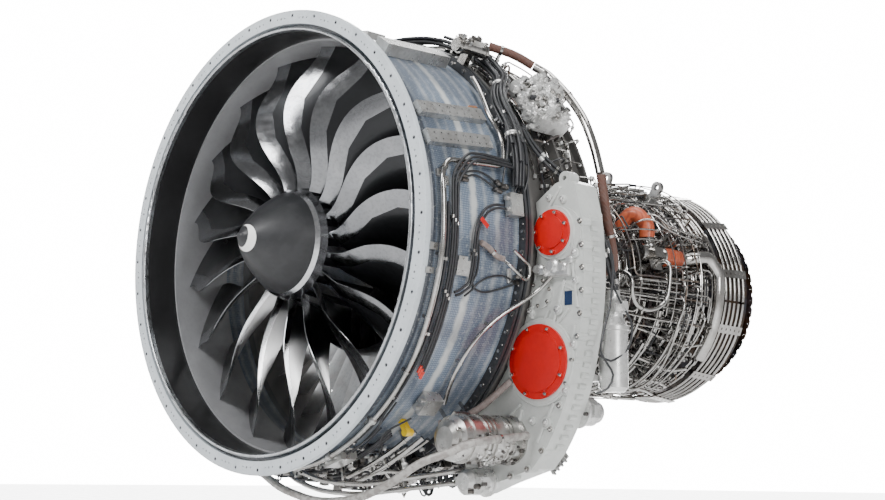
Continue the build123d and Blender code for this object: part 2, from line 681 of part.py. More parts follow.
def make_combustor_case():
    body = shell(
        (HIGH_CASE_BACK, HIGH_CASE_EXIT_BORE), (HIGH_CASE_BACK + 40, HIGH_CASE_EXIT_BORE + 30),
        (HIGH_CASE_BACK + 110, COMBUSTOR_CASE_BORE), (COMBUSTOR_CASE_BACK, COMBUSTOR_CASE_BORE))
    body += flange(HIGH_CASE_BACK, HIGH_CASE_EXIT_BORE)
    body += flange(COMBUSTOR_CASE_BACK - CASE_FLANGE_PLATE, COMBUSTOR_CASE_BORE)
    return body


def make_combustor_liner():
    """Annular flame tube, open at its nozzle holes and at the turbine."""
    front = NOZZLE_PLACE + 30
    back = COMBUSTOR_CASE_BACK - 40
    wall = 4.0
    return turned(
        (front, 262), (front - 14, 300), (front, 340), (front + 60, 356), (back - 60, 350),
        (back, 370), (back, 370 - wall), (back - 60, 350 - wall), (front + 60, 356 - wall),
        (front + wall, 338), (front - 10, 300), (front + wall, 264), (front + 60, 248 + wall),
        (back - 60, 262 + wall), (back, 300 + wall), (back, 300), (back - 60, 262), (front + 60, 248))


def make_fuel_nozzles():
    """Sixteen fuel nozzles, each a bolted pad, a stem and a tip at the flame tube's head."""
    top = COMBUSTOR_CASE_BORE - SEAT_GAP
    stem = Pos(0, NOZZLE_PLACE, 305) * Cylinder(7, top - 305, align=(Align.CENTER, Align.CENTER, Align.MIN))
    tip = Pos(0, NOZZLE_PLACE + 8, 300) * Rot(90, 0, 0) * Cylinder(14, 15.4)
    return [spun(stem + tip, number * 360.0 / NOZZLE_COUNT) for number in range(NOZZLE_COUNT)]


def make_turbine_case():
    """Turbine cases, stepped out to the last stage, with the rails that carry the cooling tubes."""
    body = shell(
        (COMBUSTOR_CASE_BACK, COMBUSTOR_CASE_BORE), (COMBUSTOR_CASE_BACK + 30, HIGH_TURBINE_BORE),
        (HIGH_TURBINE_BACK, HIGH_TURBINE_BORE), (LOW_TURBINE_FRONT - 40, LOW_TURBINE_FRONT_BORE - 6),
        (LOW_TURBINE_FRONT, LOW_TURBINE_FRONT_BORE), (LOW_TURBINE_BACK, LOW_TURBINE_BORE))
    body += flange(COMBUSTOR_CASE_BACK, COMBUSTOR_CASE_BORE)
    body += flange(HIGH_TURBINE_BACK - 20, HIGH_TURBINE_BORE)
    body += flange(LOW_TURBINE_FRONT - 10, LOW_TURBINE_FRONT_BORE)
    body += ring(LOW_TURBINE_BACK - CASE_FLANGE_PLATE, LOW_TURBINE_BACK, LOW_TURBINE_BORE, LOW_TURBINE_BORE + 34)
    return body


def make_turbine_frame():
    """Frame between the turbines, with the hub that carries the high spool's back bearing."""
    hub_back = HIGH_TURBINE_BACK + 100
    outer = HIGH_TURBINE_BORE + 8
    hub = turned(
        (HIGH_TURBINE_BACK + 10, HIGH_SHAFT_RADIUS + RUNNING_GAP), (HIGH_TURBINE_BACK + 10, 100),
        (HIGH_TURBINE_BACK + 24, 300), (hub_back, 322), (hub_back, 312), (HIGH_TURBINE_BACK + 40, 290),
        (HIGH_TURBINE_BACK + 36, 100), (HIGH_TURBINE_BACK + 36, HIGH_SHAFT_RADIUS + RUNNING_GAP))
    seat_front = HIGH_TURBINE_BACK + 92
    case_slope = (LOW_TURBINE_FRONT_BORE - 6 - HIGH_TURBINE_BORE) / (LOW_TURBINE_FRONT - 40 - HIGH_TURBINE_BACK)
    seat = HIGH_TURBINE_BORE + case_slope * (seat_front - HIGH_TURBINE_BACK) - SEAT_GAP
    band = turned(
        (HIGH_TURBINE_BACK + 16, outer - 14), (seat_front, outer + 22), (seat_front, seat),
        (hub_back, seat), (hub_back, outer + 14), (HIGH_TURBINE_BACK + 16, outer - 22))
    under_band = turned(
        (HIGH_TURBINE_BACK + 16, 0), (HIGH_TURBINE_BACK + 16, outer - 16), (seat_front, outer + 20),
        (seat_front, 0))
    strut = Pos(0, HIGH_TURBINE_BACK + 58, 360) * Box(18, 60, 140)
    struts = [spun(strut & under_band, number * 36.0) for number in range(10)]
    return hub + band + struts


def make_exhaust_case():
    """Rear frame: barrel with a scalloped flange, struts, and the hub with the last bearing seat."""
    front = LOW_TURBINE_BACK
    barrel = turned(
        (front, LOW_TURBINE_BORE), (front, LOW_TURBINE_BORE + 34), (front + 12, LOW_TURBINE_BORE + 34),
        (front + 12, LOW_TURBINE_BORE + CORE_WALL), (EXHAUST_END - 30, EXHAUST_BORE + CORE_WALL),
        (EXHAUST_END - 12, EXHAUST_BORE + CORE_WALL), (EXHAUST_END - 12, EXHAUST_FLANGE_RADIUS),
        (EXHAUST_END, EXHAUST_FLANGE_RADIUS), (EXHAUST_END, EXHAUST_BORE), (EXHAUST_END - 30, EXHAUST_BORE))
    scallops = rods_around(EXHAUST_SCALLOPS, EXHAUST_FLANGE_RADIUS + 4, 12, EXHAUST_END - 11.9, EXHAUST_END + 1)
    holes = rods_around(EXHAUST_SCALLOPS, EXHAUST_FLANGE_RADIUS - 12, 4.4, EXHAUST_END - 13, EXHAUST_END + 1,
                        180.0 / EXHAUST_SCALLOPS)
    hub_front = front + 12
    hub = turned(
        (hub_front, EXHAUST_HUB_RADIUS), (EXHAUST_END - 8, EXHAUST_HUB_RADIUS - 14),
        (EXHAUST_END - 8, EXHAUST_HUB_RADIUS - 40), (EXHAUST_END - 20, EXHAUST_HUB_RADIUS - 40),
        (EXHAUST_END - 30, EXHAUST_HUB_RADIUS - 26), (hub_front + 50, EXHAUST_HUB_RADIUS - 14),
        (hub_front + 40, 90), (hub_front + 40, LOW_SHAFT_RADIUS + RUNNING_GAP),
        (hub_front + 10, LOW_SHAFT_RADIUS + RUNNING_GAP), (hub_front + 10, 90),
        (hub_front + 16, EXHAUST_HUB_RADIUS - 22), (hub_front, EXHAUST_HUB_RADIUS - 10))
    strut_arc = ThreePointArc((0, 0), (9, 55), (0, 110))
    strut_back = ThreePointArc((0, 0), (-9, 55), (0, 110))
    strut = extrude(Pos(0, front + 26, EXHAUST_HUB_RADIUS - 12) * make_face([strut_arc, strut_back]),
                    LOW_TURBINE_BORE - EXHAUST_HUB_RADIUS + 30, dir=(0, 0, 1))
    strut = strut & turned((front, 0), (front, LOW_TURBINE_BORE + 4), (EXHAUST_END - 30, EXHAUST_BORE + 4),
                           (EXHAUST_END - 30, 0))
    struts = [spun(strut, number * 360.0 / EXHAUST_STRUTS) for number in range(EXHAUST_STRUTS)]
    return barrel + hub + struts - scallops - holes


# Spools

def make_low_compressor_rotor():
    """Three-stage drum on the low-pressure shaft."""
    drum = turned(
        (LOW_CASE_FRONT + 10, 296), (LOW_CASE_BACK - 15, 280), (LOW_CASE_BACK - 15, 266),
        (LOW_CASE_BACK - 60, 268), (LOW_CASE_BACK - 64, LOW_SHAFT_RADIUS + RUNNING_GAP),
        (LOW_CASE_BACK - 90, LOW_SHAFT_RADIUS + RUNNING_GAP), (LOW_CASE_BACK - 76, 272),
        (LOW_CASE_FRONT + 10, 284))
    blades = []
    slope = (LOW_CASE_BORE - LOW_CASE_EXIT_BORE) / (LOW_CASE_BACK - LOW_CASE_FRONT)
    for front in (LOW_CASE_FRONT + 30, LOW_CASE_FRONT + 115, LOW_CASE_FRONT + 200):
        back = front + 36
        tip = LOW_CASE_BORE - slope * (back - LOW_CASE_FRONT) - TIP_GAP
        blades += toothed_row(30, 276, tip, 6, front, back)
    return drum + blades


def make_low_shaft():
    """Shaft of the low-pressure spool, through the whole core."""
    front = GEAR_FRONT - 2
    back = LOW_TURBINE_BACK + 52
    return rod(LOW_SHAFT_RADIUS, front, back) - rod(28, front - 1, back + 1)


def make_low_turbine_rotor():
    """Three-stage turbine on the low-pressure shaft."""
    front = LOW_TURBINE_FRONT + 30
    middle = front + 110
    drum = turned(
        (front, 338), (LOW_TURBINE_BACK - 20, 338), (LOW_TURBINE_BACK - 20, 326), (middle + 16, 326),
        (middle + 10, 90), (middle + 20, 60), (middle + 20, LOW_SHAFT_RADIUS + RUNNING_GAP),
        (middle - 20, LOW_SHAFT_RADIUS + RUNNING_GAP), (middle - 20, 60), (middle - 10, 90),
        (middle - 16, 326), (front, 326))
    slope = (LOW_TURBINE_BORE - LOW_TURBINE_FRONT_BORE) / (LOW_TURBINE_BACK - LOW_TURBINE_FRONT)
    blades = []
    for number in range(3):
        start = front + 6 + number * 88
        tip = LOW_TURBINE_FRONT_BORE + slope * (start - LOW_TURBINE_FRONT) - TIP_GAP
        blades += toothed_row(36, 334, tip, 6, start, start + 34)
    return drum + blades


def make_high_compressor_rotor():
    """Eight-stage drum with its front stub shaft."""
    stub_front = FRAME_BACK - 78
    drum = turned(
        (stub_front, HIGH_SHAFT_BORE), (stub_front, HIGH_SHAFT_RADIUS), (FRAME_BACK - 30, HIGH_SHAFT_RADIUS),
        (FRAME_BACK + 8, 190), (FRAME_BACK + 14, 214), (HIGH_CASE_BACK - 14, 252), (HIGH_CASE_BACK - 14, 238),
        (HIGH_CASE_BACK - 60, 230), (HIGH_CASE_BACK + 20, HIGH_SHAFT_RADIUS),
        (HIGH_CASE_BACK + 30, HIGH_SHAFT_RADIUS),
        (HIGH_CASE_BACK + 30, HIGH_SHAFT_BORE), (HIGH_CASE_BACK - 10, HIGH_SHAFT_BORE), (HIGH_CASE_BACK - 90, 218),
        (FRAME_BACK + 30, 186), (FRAME_BACK - 20, HIGH_SHAFT_BORE))
    slope = (HIGH_CASE_BORE - HIGH_CASE_EXIT_BORE) / (HIGH_CASE_BACK - FRAME_BACK)
    blades = []
    for number in range(8):
        start = FRAME_BACK + 24 + number * 70
        tip = HIGH_CASE_BORE - slope * (start + 28 - FRAME_BACK) - TIP_GAP
        blades += toothed_row(20, 206, tip, 5, start, start + 28)
    return drum + blades


def make_high_turbine_rotor():
    """Two-stage turbine and the shaft that joins it to the high-pressure compressor."""
    front = COMBUSTOR_CASE_BACK + 20
    shaft = turned(
        (HIGH_CASE_BACK + 30, HIGH_SHAFT_BORE), (HIGH_CASE_BACK + 30, HIGH_SHAFT_RADIUS),
        (front, HIGH_SHAFT_RADIUS), (front + 6, 330), (front + 40, 330), (front + 46, 130), (front + 86, 130),
        (front + 92, 330), (front + 126, 330), (front + 130, HIGH_SHAFT_RADIUS),
        (HIGH_TURBINE_BACK + 38, HIGH_SHAFT_RADIUS), (HIGH_TURBINE_BACK + 38, HIGH_SHAFT_BORE))
    tip = HIGH_TURBINE_BORE - TIP_GAP
    blades = []
    for start in (front + 12, front + 98):
        blades += toothed_row(32, 324, tip, 6, start, start + 24)
    return shaft + blades


# Gearbox and what it drives

def front_plane(along):
    """A plane across the axis, seen from the front, with its x and y along X and Z."""
    return Plane(origin=(0, along, 0), x_dir=(1, 0, 0), z_dir=(0, -1, 0))


def make_gearbox():
    """Crescent casting on the fan case's side, with machined pads, edge bosses and ribs."""
    top = polar(GEARBOX_SEAT_RADIUS, 8, 0)
    middle = polar(GEARBOX_SEAT_RADIUS, -25, 0)
    low = polar(GEARBOX_SEAT_RADIUS, -57, 0)
    head = Polyline((top.X, top.Z), (1090, 208), (1150, 222), (1198, 196), (1228, 70))
    side = ThreePointArc((1228, 70), (1247, -200), (1207, -493))
    lower = ThreePointArc((1207, -493), (1140, -720), (1030, -915))
    foot = Polyline((1030, -915), (960, -990), (760, -1048), (620, -1096), (575, -1010), (low.X, low.Z))
    inside = ThreePointArc((low.X, low.Z), (middle.X, middle.Z), (top.X, top.Z))
    back = GEARBOX_FRONT + GEARBOX_DEPTH
    body = extrude(front_plane(back) * make_face([head, side, lower, foot, inside]), GEARBOX_DEPTH)
    outer_edges = body.edges().filter_by(Axis.Y).filter_by(lambda edge: edge.center().X > 1100)
    body = fillet(outer_edges, 18)
    for x, z in GEARBOX_BOSSES:
        body += rod(17, GEARBOX_FRONT - 8, GEARBOX_FRONT + 46, (x - 4, z))
    lug_front = GEARBOX_FRONT + 52
    lug_back = GEARBOX_FRONT + 96
    for edge, count in ((side, 13), (lower, 10)):
        for number in range(count):
            place = edge @ ((number + 0.5) / count)
            body += rod(12, lug_front, lug_back, (place.X, place.Y))
    for x, z, radius in ((*UPPER_PAD, UPPER_PAD_RADIUS), (*LOWER_PAD, LOWER_PAD_RADIUS)):
        body += rod(radius, GEARBOX_FRONT - PAD_HEIGHT, GEARBOX_FRONT, (x, z))
    body += rod(UPPER_PAD_RADIUS, GEARBOX_FRONT - 8, GEARBOX_FRONT, (UPPER_PAD[0] + 34, UPPER_PAD[1] - 6))
    body += rod(BLANK_PAD_RADIUS + 16, GEARBOX_FRONT - 8, GEARBOX_FRONT, BLANK_PAD)
    knuckle = (1138, 226)
    body += rod(30, GEARBOX_FRONT + 4, GEARBOX_FRONT + 64, knuckle)
    body -= rod(11, GEARBOX_FRONT, GEARBOX_FRONT + 70, knuckle)
    rib_height = 12.0
    for start, end in (((1170, -330), (1090, -400)), ((1060, -330), (1030, -385)), ((1160, -640), (1110, -700)),
                       ((900, -720), (840, -760)), ((1180, -120), (1196, -40))):
        length = math.dist(start, end)
        angle = math.degrees(math.atan2(end[1] - start[1], end[0] - start[0]))
        centre = ((start[0] + end[0]) / 2, GEARBOX_FRONT - rib_height / 2, (start[1] + end[1]) / 2)
        body += Pos(*centre) * Rot(0, -angle, 0) * Box(length, rib_height, 9)
    window = Pos(1160, GEARBOX_FRONT, -286) * Box(44, 8, 62)
    case_room = rod(GEARBOX_SEAT_RADIUS, GEARBOX_FRONT - 60, back + 1)
    return body - window - case_room


def make_pad_covers():
    return [make_pad_cover(UPPER_PAD, UPPER_COVER_RADIUS, 7, UPPER_COVER_RADIUS - 30),
            make_pad_cover(LOWER_PAD, LOWER_COVER_RADIUS, 8, LOWER_COVER_RADIUS - 30)]


def make_pad_cover(centre, radius, bolts, crown):
    """Transport cover of a drive pad: a plate with a raised middle and its bolt heads."""
    front = GEARBOX_FRONT - PAD_HEIGHT - COVER_PLATE
    body = rod(radius, front, GEARBOX_FRONT - PAD_HEIGHT, centre)
    body = body + rod(crown, front - 5, front, centre)
    heads = []
    for number in range(bolts):
        place = polar(radius - 13, 20 + number * 360.0 / bolts, 0)
        heads.append(rod(8, front - 7, front, (centre[0] + place.X, centre[1] + place.Z)))
    return body + heads


def make_generator():
    """Ribbed cylindrical generator on the gearbox's front face."""
    back = GEARBOX_FRONT
    front = GEARBOX_FRONT - GENERATOR_LENGTH
    radius = GENERATOR_RADIUS
    profile = [(back, 0), (back, radius + 8), (back - 14, radius + 8), (back - 14, radius - 2)]
    for rib in (back - 70, back - 96, back - 170, back - 196, back - 222, back - 300):
        profile += [(rib + 5, radius - 2), (rib + 5, radius + 5), (rib - 5, radius + 5), (rib - 5, radius - 2)]
    profile += [(front + 40, radius - 4), (front + 26, radius - 22), (front + 12, radius - 26),
                (front, radius - 50), (front, 0)]
    body = turned(*profile)
    terminal = Pos(0, front + 150, radius - 12) * block(70, 90, 34)
    body += spun(terminal, 40)
    return Pos(GENERATOR_CENTRE[0], 0, GENERATOR_CENTRE[1]) * body


def make_front_pump():
    """Oil pump under the generator."""
    front = GEARBOX_FRONT - PUMP_LENGTH
    body = turned(
        (GEARBOX_FRONT, 0), (GEARBOX_FRONT, PUMP_RADIUS + 8), (GEARBOX_FRONT - 12, PUMP_RADIUS + 8),
        (GEARBOX_FRONT - 12, PUMP_RADIUS), (front + 20, PUMP_RADIUS), (front, PUMP_RADIUS - 18), (front, 0))
    body += Pos(0, front + 60, 0) * Box(2 * PUMP_RADIUS + 50, 46, 40)
    return Pos(PUMP_CENTRE[0], 0, PUMP_CENTRE[1]) * body


def make_back_pump():
    """Fuel pump behind the gearbox."""
    back = GEARBOX_FRONT + GEARBOX_DEPTH
    body = turned((back, 0), (back, 72), (back + 14, 72), (back + 14, 60), (back + 90, 60), (back + 112, 46),
                  (back + 128, 46), (back + 128, 0))
    body += Pos(0, back + 50, 0) * Box(150, 44, 52)
    return Pos(1084, 0, -748) * body


def make_oil_tank():
    """Upright cylindrical oil filter housing with its neck, on two saddles behind the gearbox."""
    x, along = 1216.0, 925.0
    low, high = -668.0, -372.0
    radius = 62.0
    profile = Polyline(
        (0, low), (radius - 18, low), (radius, low + 18), (radius, high - 40), (radius + 6, high - 36),
        (radius + 6, high - 20), (radius - 6, high - 10), (42, high + 20), (42, high + 84), (30, high + 104),
        (30, high + 132), (0, high + 132), close=True)
    body = Pos(x, along, 0) * revolve(make_face(Plane.XZ * profile), Axis.Z, 360)
    outlet = high + 62
    body += Pos(x, along, outlet) * Box(96, 84, 52)
    body += Pos(x + 28, along, outlet) * Rot(0, 90, 0) * Cylinder(20, 70)
    for x_side in (-34, 34):
        body += Pos(x + x_side, along - 30, outlet) * Cylinder(9, 70)
    back = GEARBOX_FRONT + GEARBOX_DEPTH
    for z, inset in ((-470.0, 60.0), (-610.0, 78.0)):
        saddle = Pos(x - inset, (back + along) / 2, z) * Box(70, along - back, 26)
        body += saddle
    return body


def make_fuel_control():
    """Fuel metering casting high on the fan case, a block crowded with round housings."""
    foot = PAD_FLANGE_RADIUS + SEAT_GAP
    angle = 33.0
    along = 806.0
    body = seated(block(250, 190, 74), foot, angle, along)
    housings = (
        (-80, -95, 44, 36, 60), (-10, -100, 52, 28, 70), (62, -96, 40, 34, 54), (96, -60, 30, 22, 60),
    )
    for x, y, z, radius, length in housings:
        body += seated(Pos(x, y, z) * Rot(90, 0, 0) * Cylinder(radius, length), foot, angle, along)
        body += seated(Pos(x, y - length / 2 + 12, z) * Rot(90, 0, 0) * Cylinder(radius + 6, 8), foot, angle, along)
        body += seated(Pos(x, y - length / 2 - 6, z) * Rot(90, 0, 0) * Cylinder(radius * 0.4, 16), foot, angle, along)
    towers = (
        (-84, -20, 40, 118), (-20, 30, 46, 128), (56, -10, 36, 112), (92, 52, 30, 96), (-92, 62, 26, 104),
        (20, -60, 24, 100),
    )
    for x, y, radius, top in towers:
        tower = Cylinder(radius, top, align=(Align.CENTER, Align.CENTER, Align.MIN))
        tower += Pos(0, 0, top - 24) * Cylinder(radius + 6, 8)
        tower += Pos(0, 0, top) * extrude(RegularPolygon(radius * 0.5, 6), 10)
        body += seated(Pos(x, y, 0) * tower, foot, angle, along)
    for number in range(4):
        body += seated(Pos(-96 + number * 58, 0, 0) * block(10, 186, 92), foot, angle, along)
    return body


def make_vent_valve():
    """Valve on the upper fan case: a barrel with end rings on a foot over the joint ring."""
    foot = JOINT_RING_RADIUS + SEAT_GAP
    angle = 53.0
    along = 618.0
    lift = 78.0
    barrel = Pos(0, 0, lift) * Rot(90, 0, 0) * (Cylinder(30, 180) + Pos(0, 0, 60) * Cylinder(36, 18)
                                               + Pos(0, 0, -86) * Cylinder(35, 14))
    body = block(46, 30, lift) + barrel + Pos(0, 20, lift + 10) * block(40, 70, 36)
    return seated(body, foot, angle, along)


# Brackets, boxes and mounts

def make_channel_brackets():
    """Drilled channel rails on the fan case's upper side."""
    rails = []
    wall = 3.0
    for angle, along, length, width, height, yaw in (
            (29.2, 292.0, 405.0, 62.0, 30.0, 6.2), (20.9, 282.0, 385.0, 62.0, 30.0, 5.6),
            (53.0, 318.0, 420.0, 74.0, 54.0, 8.0)):
        rail = block(width, length, height)
        hollow = Pos(0, 0, -wall) * block(width - 2 * wall, length - 2 * wall, height)
        holes = [Pos(side * 14, -length / 2 + 40 + step * (length - 80) / 7, height) * Cylinder(4, 4 * wall)
                 for step in range(8) for side in (-1, 1)]
        rail = rail - hollow - holes
        rails.append(seated(Rot(0, 0, yaw) * rail, FAN_CASE_RADIUS + 0.1, angle, along))
    return rails


def make_junction_boxes():
    """Boxes on the fan case, each with its feet and sockets."""
    boxes = []
    places = (
        (6.0, 545.0, 96, 74, 46), (-11.0, 264.0, 62, 70, 22), (-46.2, 345.0, 84, 96, 58), (-72.0, 200.0, 120, 90, 50),
        (-100.0, 260.0, 180, 120, 60), (-128.0, 240.0, 110, 100, 44), (80.0, 420.0, 150, 110, 40),
        (118.0, 360.0, 220, 150, 60), (150.0, 420.0, 130, 120, 46), (180.0, 420.0, 140, 160, 60),
        (214.0, 380.0, 160, 140, 52),
    )
    for angle, along, width, length, height in places:
        body = Pos(0, 0, 10) * block(width, length, height - 10)
        for side in (-1, 1):
            body += Pos(side * (width / 2 - 6), 0, -8) * block(10, length * 0.8, 20)
        socket = Rot(90, 0, 0) * Cylinder(9, 18)
        for offset in (-0.25, 0.25) if height > 40 else ():
            body += Pos(offset * width, -length / 2 - 8, height / 2 + 6) * socket
        boxes.append(bedded(seated(body, FAN_CASE_RADIUS, angle, along), FAN_CASE_RADIUS))
    return boxes


def make_front_mount():
    """Front engine mount: a beam on the core frame's bulkhead with two drilled ears."""
    front = REAR_CASE_END + FLANGE_PLATE
    outer = FRONT_MOUNT_CIRCLE - 16
    beam = ring(front, front + 42, CORE_DUCT_RADIUS - 30, outer)
    sector = Pos(0, front + 21, 440) * Box(460, 44, 500)
    beam = beam & sector
    ears = []
    bores = []
    for angle in (FRONT_MOUNT_ANGLE, 180 - FRONT_MOUNT_ANGLE):
        place = polar(FRONT_MOUNT_CIRCLE, angle, 0)
        ears.append(rod(38, front, front + 42, (place.X, place.Z)))
        bores.append(rod(MOUNT_BORE, front - 1, front + 43, (place.X, place.Z)))
    return beam + ears - bores


def make_rear_mount():
    """Rear engine mount: a yoke round the turbine case with three arms and ears for the links."""
    front = HIGH_TURBINE_BACK - 44
    inner = HIGH_TURBINE_BORE + CORE_WALL + SEAT_GAP
    crown = inner + 106
    yoke = ring(front, front + 24, inner, crown)
    yoke = yoke & (Pos(0, front + 12, 400) * Box(760, 26, 470))
    ears = []
    bores = []
    for angle in (REAR_MOUNT_ANGLE, 90, 180 - REAR_MOUNT_ANGLE):
        place = polar(REAR_MOUNT_CIRCLE, angle, 0)
        ears.append(rod(34, front, front + 24, (place.X, place.Z)))
        ears.append(seated(block(54, 24, REAR_MOUNT_CIRCLE - crown + 12), crown - 12, angle, front + 12))
        bores.append(rod(MOUNT_BORE, front - 1, front + 25, (place.X, place.Z)))
    return yoke + ears - bores


# Turbine cooling, bleed air and vane control

def make_turbine_cooling():
    """Cooling tubes round the turbine in four quarters, tied by drilled plates that stand on the case."""
    count = 5
    pitch = 34.0
    first = LOW_TURBINE_FRONT + 130
    tube_radius = 9.0
    stand = 44.0
    slope = (LOW_TURBINE_BORE - LOW_TURBINE_FRONT_BORE) / (LOW_TURBINE_BACK - LOW_TURBINE_FRONT)

    def case_radius(along):
        return LOW_TURBINE_FRONT_BORE + CORE_WALL + slope * (along - LOW_TURBINE_FRONT)

    quarter = 90.0
    joint = 0.6
    plates_each = 3
    hoops = []
    for number in range(count):
        along = first + number * pitch
        hoops.append(hoop(case_radius(along) + stand, along, tube_radius, joint - 7, quarter - 2 * joint))
    length = count * pitch + 10
    middle = first + (count - 1) * pitch / 2
    plates = []
    tilt = math.degrees(math.atan(slope))
    plate = block(46, length, 5) - [Pos(0, (number - 2) * pitch, 0) * Cylinder(7, 30) for number in range(count)]
    for end in (-length / 2 + 8, length / 2 - 8):
        plate += Pos(0, end, -stand - tube_radius + 3.8) * block(30, 5, stand + tube_radius)
    for number in range(plates_each):
        placed = Rot(tilt, 0, 0) * plate
        plates.append(seated(placed, case_radius(middle) + stand + tube_radius - 3, 8 + number * 30.0, middle))
    bank = Part() + hoops + plates
    return [spun(bank, turn * quarter) for turn in range(4)]


def make_bleed_valve():
    """Air valve on the core: a body with flanged ends and its actuator, on a saddle."""
    case = COMBUSTOR_CASE_BORE + CORE_WALL + SEAT_GAP
    centre = 500.0 - case
    body = Pos(0, 0, 0) * block(70, 60, centre)
    body += Pos(0, 0, centre) * Rot(90, 0, 0) * Cylinder(44, 190)
    for end in (-90, 90):
        body += Pos(0, end, centre) * Rot(90, 0, 0) * Cylinder(52, 12)
    body += Pos(66, -10, centre - 48) * block(66, 96, 84)
    body += Pos(66, -10, centre - 40) * Rot(90, 0, 0) * Cylinder(26, 150)
    body += Pos(10, 10, centre + 10) * block(56, 78, 52)
    body += Pos(-58, 20, centre) * Rot(0, 90, 0) * Cylinder(38, 54)
    return seated(body, case, BLEED_ANGLE, 2130)


def make_duct_sleeves():
    """Silicone sleeves: a straight one behind the valve and an elbow ahead of it."""
    straight = ring(0, 150, 36.8, 47)
    band = ring(70, 80, 36.8, 51)
    start = polar(500, BLEED_ANGLE, 0)
    behind = Pos(start.X, 2226.3, start.Z) * (straight + band)
    elbow = tube(40, 90, (425, 43, 2100), (542, 43, 2115), (546, 33, 2150), (508.5, 25.9, 2150))
    return [behind, elbow]


def make_bleed_duct():
    """Metal duct from the sleeve, bent down in front of the cooling tubes."""
    return tube(36.5, 80, (500, BLEED_ANGLE, 2229), (500, BLEED_ANGLE, 2410), (560, BLEED_ANGLE, 2486),
                (577, BLEED_ANGLE, 2550), (577, 7, 2614), (573, -6, 2614), (573, -18, 2614), (573, -30, 2614),
                (573, -41, 2614))


def make_vane_ring():
    """Ring that turns the compressor's variable vanes, on pads that slide on the case."""
    along = FRAME_BACK + 130
    case = high_case_radius(along)
    body = ring(along, along + 18, 384, 398)
    pad = Pos(0, along + 9, case + SEAT_GAP) * block(26, 14, 384 - case + 2)
    ears = Pos(0, along + 9, 396) * block(22, 8, 26)
    lugs = [spun(pad, number * 45.0) for number in range(8)]
    pins = [spun(Pos(0, along + 9, 396) * block(8, 10, 9), 7.5 + number * 15.0) for number in range(24)]
    return body + lugs + pins + spun(ears, -172)


def make_vane_actuator():
    """Actuator beside the vane ring, its cylinder on a bracket."""
    along = FRAME_BACK + 104
    case = high_case_radius(along - 20)
    lift = 70.0
    body = block(46, 40, lift) + Pos(0, 0, lift) * Rot(0, 90, 0) * Cylinder(24, 150)
    body += Pos(88, 0, lift) * Rot(0, 90, 0) * Cylinder(9, 60)
    return seated(body, case + SEAT_GAP, -66, along)


def make_heat_exchanger():
    """Fuel and oil heat exchanger on the compressor case, where the hoses over the gearbox end."""
    case = high_case_radius(1336) + SEAT_GAP
    body = block(168, 208, 168) + Pos(0, 0, 20) * block(188, 180, 14) + Pos(0, 0, 130) * block(188, 180, 14)
    body += Pos(0, 0, 168) * block(110, 150, 16)
    return seated(body, case, -12, 1440)


def make_exhaust_probes():
    """Temperature probes round the turbine case, each a pad, a head and a short conduit."""
    along = LOW_TURBINE_FRONT + 30
    case = LOW_TURBINE_FRONT_BORE + CORE_WALL + 5.8
    probe = block(34, 26, 8) + Pos(0, 0, 6) * Cylinder(9, 12, align=(Align.CENTER, Align.CENTER, Align.MIN))
    return [seated(probe, case, 22 + number * 40.0, along) for number in range(9)]


# Tubes, hoses and harness on the fan case

def beside(route, turn, shift):
    """A route moved sideways and along, for tubes and cables that run side by side."""
    return [(radius, angle + turn * 1000.0 / radius, along + shift) for radius, angle, along in route]


FEED_ROUTE = (
    (1012, 45, 578), (1012, 41, 562), (1012, 36.5, 539), (1008, 30, 522), (1008, 24.5, 546), (1008, 20, 532),
    (1008, 15.3, 500), (1006, 14.2, 170), (1006, 10, 125), (1006, 3.5, 122), (1006, -5, 124), (1006, -12, 121),
    (1006, -20, 119), (1006, -27, 123), (1006, -34, 126), (1006, -41, 125), (1006, -49, 121), (1006, -58, 116),
    (1006, -66, 118), (1006, -75, 122), (1006, -84, 122),
)
SENSE_ROUTE = (
    (993, 9, 150), (993, 4, 146), (993, -5, 147), (993, -14, 146), (993, -23, 145), (993, -32, 150),
    (993, -41, 149), (993, -50, 146), (993, -59, 145), (993, -68, 150),
)
BRANCH_ROUTE = (
    (1122, -8.5, 689), (1062, -13.5, 662), (1032, -17, 600), (1006, -21, 520), (1004, -26, 440), (1004, -31, 402),
    (1004, -37, 392), (1004, -41, 405), (1012, -45.5, 428),
)
TRUNK_ROUTE = (
    (1042, 68, 700), (1042, 60, 726), (1042, 52, 730), (1042, 44, 700), (1042, 40, 640), (1040, 36.5, 590),
    (1036, 33, 568),
    (1036, 26.7, 572), (1036, 20.8, 566), (1028, 16.0, 556), (1006, 10.6, 549),
)
LOOP_ROUTE = (
    (1030, 14.9, 544), (1030, 15.2, 399), (1030, 14.7, 308), (1026, 12.6, 260), (1002, 9.4, 222),
    (998, 3, 212), (998, -5, 214), (998, -14, 216), (998, -23, 215), (998, -31, 218), (998, -37, 222),
)
SIGNAL_ROUTE = (
    (1006, 4.6, 486), (1000, 4.6, 440), (996, 3.4, 389), (996, -0.8, 336), (996, -4.6, 326), (996, -10, 328),
    (996, -15, 322), (996, -17, 277), (996, -17.6, 250),
)
PAIR_ROUTE = (
    (1041, 27, 662), (1052, 21, 672), (1068, 16.5, 720), (1078, 13.2, 800), (1094, 11.4, 862), (1140, 4.6, 892),
    (1178, -4, 925), (1205, -11, 972), (1200, -18, 1004), (1160, -24, 1030), (1080, -26, 1084), (880, -25, 1104),
    (700, -20, 1150), (540, -18, 1216), (486, -18, 1270), (484, -18, 1312),
)
OIL_ROUTE = (
    (1050, -50, 438), (1050, -49, 520), (1052, -44.5, 600), (1052, -39, 652), (1054, -36, 684),
)
DRAIN_ROUTE = (
    (1048, -50, 436), (1054, -55, 405), (1066, -62, 372), (1076, -70, 352), (1082, -78, 348),
)


